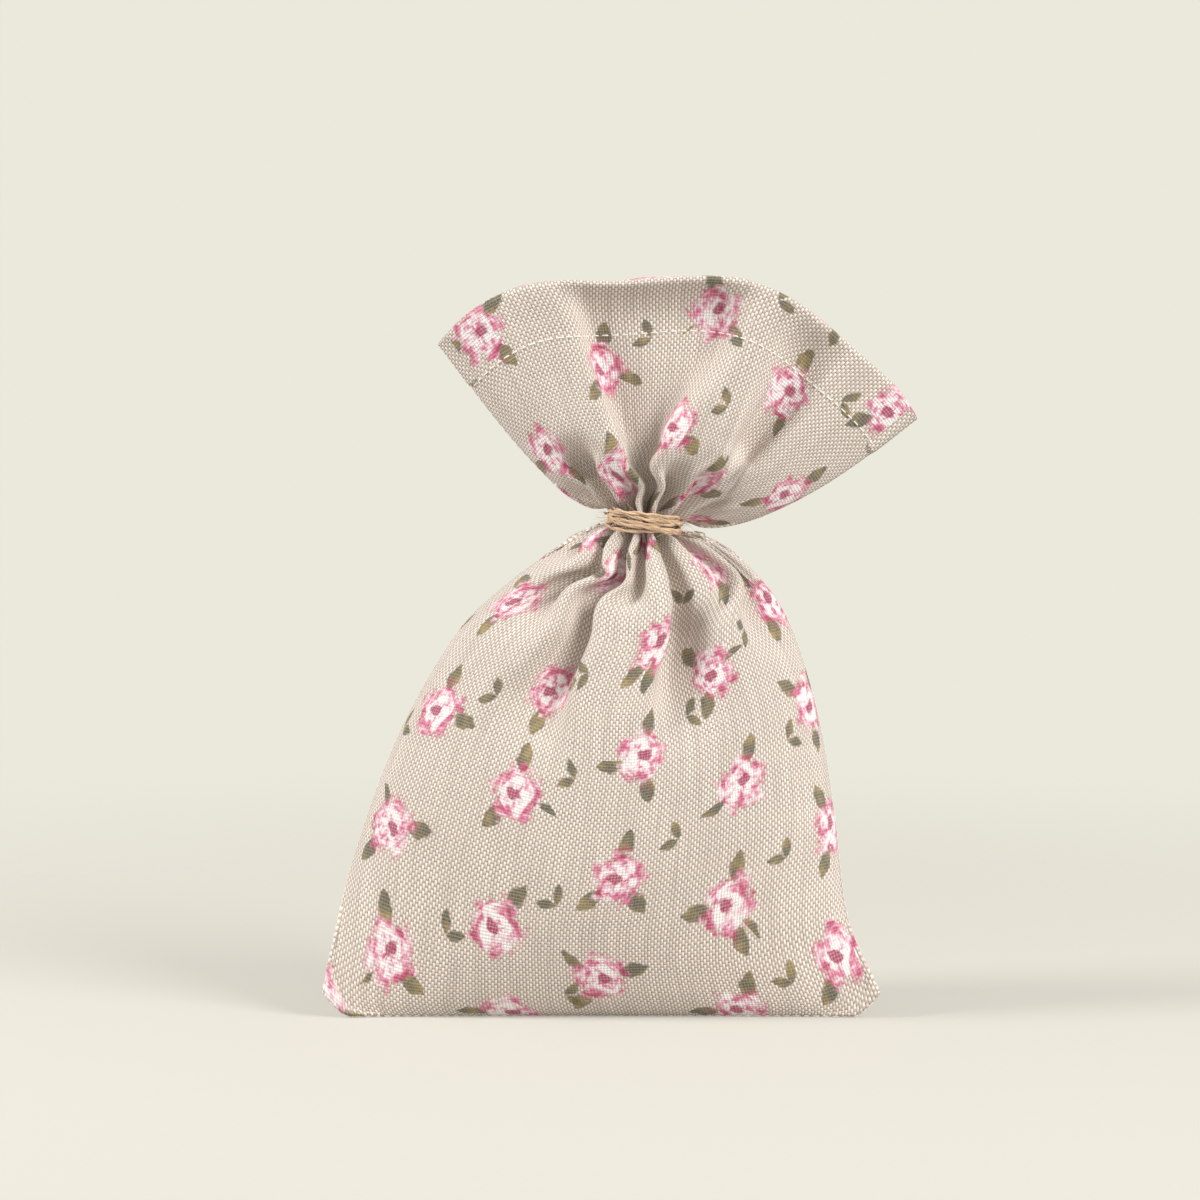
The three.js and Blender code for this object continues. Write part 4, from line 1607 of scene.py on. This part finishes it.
@dataclass
class Stitching:
    """The sewn seams and hems: rows of short stitches that lie on the cloth and dip into it at both ends.

    Attributes:
        cloth: The settled tube.
        material: The thread's finish.
        length: Length of a stitch that shows.
        pitch: Distance from stitch to stitch.
        hem_radius: Radius of the thread that sews the hems.
        seam_radius: Radius of the thread that sews the seams.
        dip: How far a stitch's ends go into the cloth.
        lift: How far the middle of its thread stands above the cloth.
        hem_level: How far below the mouth the hems are sewn.
        highest_on_body: Height at which the side seams' stitches end below the tie.
        lip_start: Rows above the tie at which the lips' stitches start.
        bottom_outward: Direction out of the cloth at the bottom seam.
        flatness: Power of a stitch's arch; a greater one lies flat for longer.
    """

    cloth: PouchCloth
    material: Material
    length: float = 1.7
    pitch: float = 2.3
    hem_radius: float = 0.2
    seam_radius: float = 0.1
    dip: float = 0.3
    lift: float = 0.05
    hem_level: float = 12.5
    highest_on_body: float = 98.0
    lip_start: int = 9
    bottom_outward: Triple = (0.0, -1.0, 0.2)
    flatness: int = 4

    def build(self) -> None:
        """Makes the stitches of the five seams, which hardly show, and of the two hems."""
        cloth, normals = self.cloth, self.cloth.normals()
        sides = (("left", 0), ("right", cloth.columns))
        lip_rows = np.arange(cloth.body_rows + self.lip_start, cloth.rows)
        bottom = cloth.panel_grid(cloth.points, Panel.FRONT)[0]
        seams = []
        for side, column in sides:
            rows = np.flatnonzero(cloth.points[:cloth.body_rows, column, 2] < self.highest_on_body)
            seam, outward = cloth.points[rows, column], normals[rows, column]
            seams.append((f"{side}_seam", seam, outward, "pouch", f"{side}_seam_thread"))
        outward = np.tile(self.bottom_outward, (len(bottom), 1))
        seams.append(("bottom_seam", bottom, outward, "pouch", "bottom_seam_thread"))
        for side, column in sides:
            seam, outward = cloth.points[lip_rows, column], normals[lip_rows, column]
            seams.append((f"{side}_lip", seam, outward, "collar", f"{side}_lip_seam_thread"))
        for name, line, outward, body, node in seams:
            piece = self.row_of_stitches(f"{name}_stitches", line, outward, self.seam_radius)
            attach(piece, body)
            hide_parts(node)
        for panel in Panel:
            name = panel.name.lower()
            line, outward = (self.hem_line(grid, panel) for grid in (cloth.points, normals))
            piece = self.row_of_stitches(f"{name}_hem_stitches", line, outward, self.hem_radius)
            if panel is Panel.FRONT:
                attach(piece, "collar")
            else:
                cloth.neck.open(piece)
            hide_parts(f"{name}_hem_thread")

    def hem_line(self, grid: Array, panel: Panel) -> Array:
        """Reads a grid along the line where the hem is sewn.

        Args:
            grid: A vector for each point of the tube.
            panel: Which panel.

        Returns:
            One vector for each of the panel's columns.
        """
        levels = self.cloth.panel_grid(self.cloth.flat()[1], panel)
        values = self.cloth.panel_grid(grid, panel)
        wanted = np.array([self.cloth.height - self.hem_level])
        read = [at_lengths(wanted, levels[:, column], values[:, column]) for column in range(values.shape[1])]
        return np.concatenate(read)

    def row_of_stitches(self, name: str, line: Array, outward: Array, radius: float) -> Piece:
        """Sews one row of stitches along a line on the cloth.

        Args:
            name: The piece's name.
            line: Points of the line.
            outward: Direction out of the cloth at each point.
            radius: Radius of the thread.

        Returns:
            The stitches as one piece.
        """
        lengths = arc_lengths(line)
        outward = unit(outward)
        draft = MeshDraft()
        for number in range(int((lengths[-1] - self.length) / self.pitch)):
            share = np.linspace(0.0, 1.0, STITCH_STEPS)
            along = (number + 0.5) * self.pitch + share * self.length
            above = self.lift - (self.lift + self.dip) * (2.0 * share - 1.0) ** self.flatness
            path = at_lengths(along, lengths, line) + at_lengths(along, lengths, outward) * above[:, None]
            draft.tube(path, radius, STITCH_SIDES, float(number))
        piece = draft.build(name, STRAND, self.material)
        log.info("%s: %d points", name, draft.count)
        return piece


@dataclass(frozen=True)
class Sway:
    """One wave of a hand's unevenness.

    Attributes:
        size: How far it goes to either side.
        rate: Its waves for each turn of what it follows.
        phase: The angle at which it starts, in radians.
    """

    size: float
    rate: float
    phase: float = 0.0

    def at(self, angle: Array) -> Array:
        """How far it has gone at each angle."""
        return self.size * np.sin(self.rate * angle + self.phase)


@dataclass
class TwineTie:
    """The jute twine that is wound round the neck and knotted behind it.

    Attributes:
        neck: Where the twine goes round the pouch.
        inner_radius: Radius of the gathered cloth under it.
        material: The twine's finish.
        turns: How often it goes round.
        height: Height of the winding from its lowest turn to its highest, middle to middle.
        ply_radius: Radius of one of its two plies.
        ply_offset: Distance of a ply's middle from the middle of the twine.
        ply_sways: How uneven the thickness of each ply is.
        lay: Length in which the plies go once round each other.
        bed_share: Share of a ply's radius by which the winding stands off the cloth.
        out_sways: How uneven the winding's radius is.
        up_sways: How uneven its rise is.
        knot_radius: Scale of the knot's trefoil.
        knot_out: How far behind the cloth the ends leave the knot.
        knot_sink: How much nearer the knot's middle is.
        ends: Each end's side, the way it points and how far its tip hangs down.
        end_points: Points of an end: sideways, outwards, upwards, and the share of the tip's drop.
        fibres: How many loose fibres stand off.
        fibre_radius: Radius of a fibre at its root.
        fibre_tip: Share of that radius at its tip.
        fibre_root: Share of a ply's radius at which a fibre starts.
        fibre_margin: Points at each end of the winding that have no fibre.
        fibre_lengths: Shortest and longest fibre.
        fibre_lifts: Least and greatest bend outwards, for each mm of a fibre.
        fibre_curl: How much the fibres bend at random.
        seed: Seed of the loose fibres.
    """

    neck: Neck
    inner_radius: float
    material: Material
    turns: float = 7.0
    height: float = 4.8
    ply_radius: float = 0.29
    ply_offset: float = 0.21
    ply_sways: tuple[Sway, ...] = (Sway(0.12, 1.7), Sway(0.12, 1.7, 2.0))
    lay: float = 9.0
    bed_share: float = 0.25
    out_sways: tuple[Sway, ...] = (Sway(0.28, 2.3), Sway(0.2, 0.77, 1.0))
    up_sways: tuple[Sway, ...] = (Sway(0.55, 1.31, 0.4), Sway(0.3, 2.57))
    knot_radius: float = 0.72
    knot_out: float = 3.9
    knot_sink: float = 1.0
    ends: tuple[tuple[str, float, float], ...] = (("left", -1.0, 0.6), ("right", 1.0, 2.4))
    end_points: tuple[tuple[float, ...], ...] = (
        (0.6, -0.6, 0.0, 0.0), (2.6, 1.1, 0.4, 0.0), (5.6, 2.0, 0.0, 0.2), (9.6, 2.3, 0.0, 1.0))
    fibres: int = 200
    fibre_radius: float = 0.045
    fibre_tip: float = 0.35
    fibre_root: float = 0.6
    fibre_margin: int = 10
    fibre_lengths: Span = (2.0, 6.5)
    fibre_lifts: Span = (0.1, 0.55)
    fibre_curl: float = 0.35
    seed: int = 11

    def build(self) -> None:
        """Makes the winding, the knot, the two ends and the loose fibres."""
        winding = self.winding_path()
        lines = [("jute_winding", winding, "twine_wrap"), ("jute_knot", self.knot_path(), "twine_knot")]
        for side, sign, drop in self.ends:
            lines.append((f"jute_end_{side}", self.end_path(sign, drop), f"twine_tail_{side}"))
        pieces = []
        for name, path, node in lines:
            pieces.append(self.twine(name, path))
            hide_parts(node)
        pieces.append(self.loose_fibres(winding))
        for piece in pieces:
            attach(piece, "tie")
            log.info("%s: %d points", piece.name, len(piece.data.vertices))

    def winding_path(self) -> Array:
        """Follows the twine from the knot round the neck and back, with a hand's unevenness in its turns."""
        share = np.linspace(0.0, 1.0, WINDING_STEPS)
        angle = math.pi / 2 + share * self.turns * 2.0 * math.pi
        radius = self.inner_radius + self.ply_offset + self.bed_share * self.ply_radius
        rise = self.height * (share - 0.5)
        for out_sway, up_sway in zip(self.out_sways, self.up_sways):
            radius = radius + out_sway.at(angle)
            rise = rise + up_sway.at(angle)
        offsets = np.stack([radius * np.cos(angle), radius * np.sin(angle), rise], axis=1)
        return self.neck.centre + offsets @ self.neck.basis

    def knot_path(self) -> Array:
        """Follows an overhand knot behind the neck, drawn as a trefoil."""
        turn = np.linspace(0.0, 2.0 * math.pi, KNOT_STEPS)
        across = np.sin(turn) + 2.0 * np.sin(2.0 * turn)
        up = np.cos(turn) - 2.0 * np.cos(2.0 * turn)
        out = -np.sin(3.0 * turn)
        offsets = np.stack([across, out, up], axis=1) * self.knot_radius
        middle = self.neck.point(0.0, self.inner_radius + self.knot_out - self.knot_sink, 0.0)
        return middle + offsets @ self.neck.basis

    def end_path(self, sign: float, drop: float) -> Array:
        """Follows one trimmed end from the knot outwards.

        Args:
            sign: -1 for the end to the left, 1 for the right.
            drop: How far its tip hangs below the knot.

        Returns:
            Points of the end.
        """
        back = self.inner_radius + self.knot_out
        points = []
        for right, out, up, share in self.end_points:
            points.append(self.neck.point(sign * right, back + out, up - share * drop))
        return rounded(np.array(points), END_STEPS)

    def twine(self, name: str, path: Array) -> Piece:
        """Twists two plies round each other along a path.

        Args:
            name: The piece's name.
            path: The twine's middle line.

        Returns:
            The twine as one piece.
        """
        normal, across = carried_frame(unit(np.gradient(path, axis=0)))
        twist = 2.0 * math.pi * arc_lengths(path) / self.lay
        draft = MeshDraft()
        for ply, sway in enumerate(self.ply_sways):
            turn = (twist + ply * math.pi)[:, None]
            offset = self.ply_offset * (normal * np.cos(turn) + across * np.sin(turn))
            uneven = self.ply_radius * (1.0 + sway.at(twist))
            draft.tube(path + offset, uneven, PLY_SIDES, float(ply))
        return draft.build(name, STRAND, self.material)

    def loose_fibres(self, winding: Array) -> Piece:
        """Lets short fibres stand off the winding, each curling its own way.

        Args:
            winding: The middle line of the winding.

        Returns:
            The fibres as one piece.
        """
        chance = np.random.default_rng(self.seed)
        along = unit(np.gradient(winding, axis=0))
        away = winding - self.neck.centre
        outward = unit(away - np.outer(away @ self.neck.up, self.neck.up))
        share = np.linspace(0.0, 1.0, FIBRE_STEPS)[:, None]
        radius = self.fibre_radius * np.linspace(1.0, self.fibre_tip, FIBRE_STEPS)
        draft = MeshDraft()
        for number in range(self.fibres):
            at = chance.integers(self.fibre_margin, len(winding) - self.fibre_margin)
            length = chance.uniform(*self.fibre_lengths)
            way = along[at] * chance.choice((-1.0, 1.0))
            lift = chance.uniform(*self.fibre_lifts)
            bend = chance.normal(0.0, self.fibre_curl, 3)
            first = winding[at] + outward[at] * (self.ply_offset + self.fibre_root * self.ply_radius)
            path = first + length * (share * way + share**2 * (lift * outward[at] + bend))
            draft.tube(path, radius, FIBRE_SIDES, float(number))
        return draft.build("jute_fibres", STRAND, self.material)


@dataclass
class Filling:
    """The loose dried filling: the room inside the canvas, inset so that it clears the folds.

    Attributes:
        cloth: The settled tube.
        material: The filling's finish.
        rows: Rows of the tube at which the filling is ringed.
        lowest: Height of its underside.
        gap: Clearance to the panel in front of it or behind it.
        side_gap: Clearance to the side seams.
        clearance_reach: How far round a point the cloth is looked at.
        thinnest: Half the least thickness of the filling.
        points_per_side: Points of each ring on either panel.
        reach: Shares of the way from seam to seam between which those points lie.
        smoothing: How often the filling is subdivided.
        fill: Not used; how full it is.
    """

    cloth: PouchCloth
    material: Material
    rows: tuple[int, ...] = (6, 9, 12, 16, 20, 24, 28, 32, 36)
    lowest: float = 2.0
    gap: float = 1.8
    side_gap: float = 5.0
    clearance_reach: float = 5.0
    thinnest: float = 0.5
    points_per_side: int = 30
    reach: Span = (0.03, 0.97)
    smoothing: int = 2
    fill: float = 0.6

    def build(self) -> None:
        """Makes the filling and gives it to the pouch."""
        rings = np.array([self.ring(row) for row in self.rows])
        draft = MeshDraft()
        draft.grid(rings, np.zeros_like(rings), closed=True)
        piece = draft.build("dried_filling", STRAND, self.material)
        swell = piece.modifiers.new("round_off", "SUBSURF")
        swell.levels = self.smoothing
        swell.render_levels = self.smoothing
        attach(piece, "pouch")
        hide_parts("filling")
        log.info("%s: %d points before subdivision", piece.name, draft.count)

    def ring(self, row: int) -> Array:
        """Rings the filling at one row of the tube.

        Args:
            row: Row of the tube.

        Returns:
            Points of the ring, front panel first.
        """
        sides = []
        for panel in Panel:
            line, _, _ = self.cloth.body_line(row, panel)
            middle = line.mean(axis=0)
            shrink = 1.0 - 2.0 * self.side_gap / np.ptp(line[:, 0])
            lengths = arc_lengths(line)
            wanted = np.linspace(*self.reach, self.points_per_side) * lengths[-1]
            side = middle + (at_lengths(wanted, lengths, line) - middle) * [shrink, 1.0, 1.0]
            side[:, 2] = np.maximum(side[:, 2], self.lowest)
            cloth = self.cloth.panel_grid(self.cloth.points, panel)[:self.cloth.body_rows].reshape(-1, 3)
            for point in side:
                near = np.hypot(*(cloth - point)[:, [0, 2]].T) < self.clearance_reach
                deepest = np.min(panel.value * cloth[near, 1], initial=panel.value * point[1])
                point[1] = panel.value * max(self.thinnest, deepest - self.gap)
            sides.append(side if panel is Panel.FRONT else side[::-1])
        return np.concatenate(sides)


@dataclass(frozen=True)
class Lamp:
    """A round soft lamp that points at what the camera looks at.

    Attributes:
        name: The lamp's name.
        place: Its place in mm.
        size: Its width in mm.
        power: Its power in watts.
    """

    name: str
    place: Triple
    size: float
    power: float


@dataclass
class Studio:
    """A pale seamless floor, soft lamps and the camera.

    Attributes:
        aim: The point in mm that the camera looks at.
        distance: Distance of the camera from it in mm.
        elevation: How far the camera stands above the horizon, in degrees.
        view_width: Width of the picture at the aim, in mm.
        sensor: Width of the camera's sensor in mm.
        backdrop_colour: Colour of everything behind the object.
        floor_colour: Colour of the floor near the object.
        ambient_colour: Colour of the light from all round.
        ambient: Strength of that light.
        floor_size: Width of the floor in mm.
        floor_near: Distance in mm up to which the floor stays as it is at the object.
        floor_far: Distance in mm from which only the backdrop shows.
        floor_clear: How clear the floor is at the object, from 0 to 1.
        lamps: The lamps.
    """

    aim: Triple = (-2.84, 0.0, 98.0)
    distance: float = 1000.0
    elevation: float = 4.5
    view_width: float = 284.0
    sensor: float = 36.0
    backdrop_colour: str = "#EBE8DC"
    floor_colour: str = "#CECAC1"
    ambient_colour: str = "#FFFDF8"
    ambient: float = 0.48
    floor_size: float = 4000.0
    floor_near: float = 90.0
    floor_far: float = 520.0
    floor_clear: float = 0.4
    lamps: tuple[Lamp, ...] = (
        Lamp("left_lamp", (-900.0, -200.0, 600.0), 350.0, 9.5),
        Lamp("right_lamp", (850.0, -650.0, 650.0), 700.0, 14.5),
    )

    def build(self) -> None:
        """Makes the floor, the world, the lamps and the camera."""
        bpy.context.scene.view_settings.view_transform = "Standard"
        self.build_floor()
        self.build_world()
        for lamp in self.lamps:
            light = bpy.data.lights.new(lamp.name, "AREA")
            light.shape = "DISK"
            light.size = lamp.size * MM
            light.energy = lamp.power
            self.point_at_aim(bpy.data.objects.new(lamp.name, light), Vector(lamp.place) * MM)
        lens = bpy.data.cameras.new("camera")
        lens.sensor_width = self.sensor
        lens.lens = self.sensor * self.distance / self.view_width
        angle = math.radians(self.elevation)
        offset = Vector((0.0, -math.cos(angle), math.sin(angle))) * self.distance
        camera = bpy.data.objects.new("camera", lens)
        self.point_at_aim(camera, (Vector(self.aim) + offset) * MM)
        bpy.context.scene.camera = camera

    def point_at_aim(self, thing: bpy.types.Object, place: Vector) -> None:
        """Puts a lamp or camera in its place and turns it to the aim.

        Args:
            thing: The lamp or camera.
            place: Its place in metres.
        """
        thing.location = place
        thing.rotation_euler = (Vector(self.aim) * MM - place).to_track_quat("-Z", "Y").to_euler()
        bpy.context.scene.collection.objects.link(thing)

    def build_floor(self) -> None:
        """Makes the floor: matt paper that fades into the backdrop away from the object."""
        half = 0.5 * self.floor_size
        corners = np.array([[-half, -half, 0.0], [half, -half, 0.0], [half, half, 0.0], [-half, half, 0.0]])
        matt = {"Base Color": linear(self.floor_colour), "Roughness": 0.95, "Specular IOR Level": 0.1}
        material, tree, paper = start_material("paper_matt_seamless", matt)
        place = add(tree, "NewGeometry").outputs["Position"]
        away = add(tree, "VectorMath:LENGTH", (place,)).outputs["Value"]
        reach = (away, self.floor_near * MM, self.floor_far * MM, self.floor_clear, 1.0)
        fade = add(tree, "MapRange", reach, interpolation_type="SMOOTHSTEP")
        mixed = add(tree, "MixShader", (fade, paper, add(tree, "BsdfTransparent")))
        tree.links.new(mixed.outputs[0], tree.nodes["Material Output"].inputs["Surface"])
        draft = MeshDraft()
        draft.join(corners, [(0, 1, 2, 3)], np.zeros_like(corners))
        draft.build("floor", STRAND, material)

    def build_world(self) -> None:
        """Makes the world: soft light all round, and the pale backdrop where the camera sees it."""
        world = bpy.data.worlds.new("studio")
        bpy.context.scene.world = world
        world.use_nodes = True
        tree = world.node_tree
        light = tree.nodes["Background"]
        light.inputs["Color"].default_value = linear(self.ambient_colour)
        light.inputs["Strength"].default_value = self.ambient
        backdrop = add(tree, "Background", {"Color": linear(self.backdrop_colour), "Strength": 1.0})
        ray = add(tree, "LightPath")
        seen = ray.outputs["Is Camera Ray"]
        for other in ("Is Glossy Ray", "Is Transmission Ray"):
            seen = add(tree, "Math:MAXIMUM", (seen, ray.outputs[other]))
        mixed = add(tree, "MixShader", (seen, light, backdrop))
        tree.links.new(mixed.outputs[0], tree.nodes["World Output"].inputs["Surface"])


def main() -> None:
    """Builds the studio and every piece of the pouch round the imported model."""
    logging.basicConfig(level=logging.INFO, format="%(name)s: %(message)s")
    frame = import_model()
    neck = Neck.of(frame["joints"])
    Studio().build()
    cloth = PouchCloth(neck)
    cloth.lay_out()
    cloth.settle()
    thread = SpunStrand("cotton_thread_spun", ("#CFC6B8", "#EDE7DD", "#F6F2EB"), 0.7, 3.0, 0.05)
    jute = SpunStrand("jute_twine_spun", ("#967658", "#C6A585", "#DFC3A3", "#F2E1C9"), 7.0, 7.0, 0.12)
    CanvasPieces(cloth, PrintedCanvas().build()).build()
    Stitching(cloth, thread.build()).build()
    TwineTie(neck, cloth.tie_radius, jute.build()).build()
    Filling(cloth, DriedBuds().build()).build()


if __name__ == "__main__":
    main()
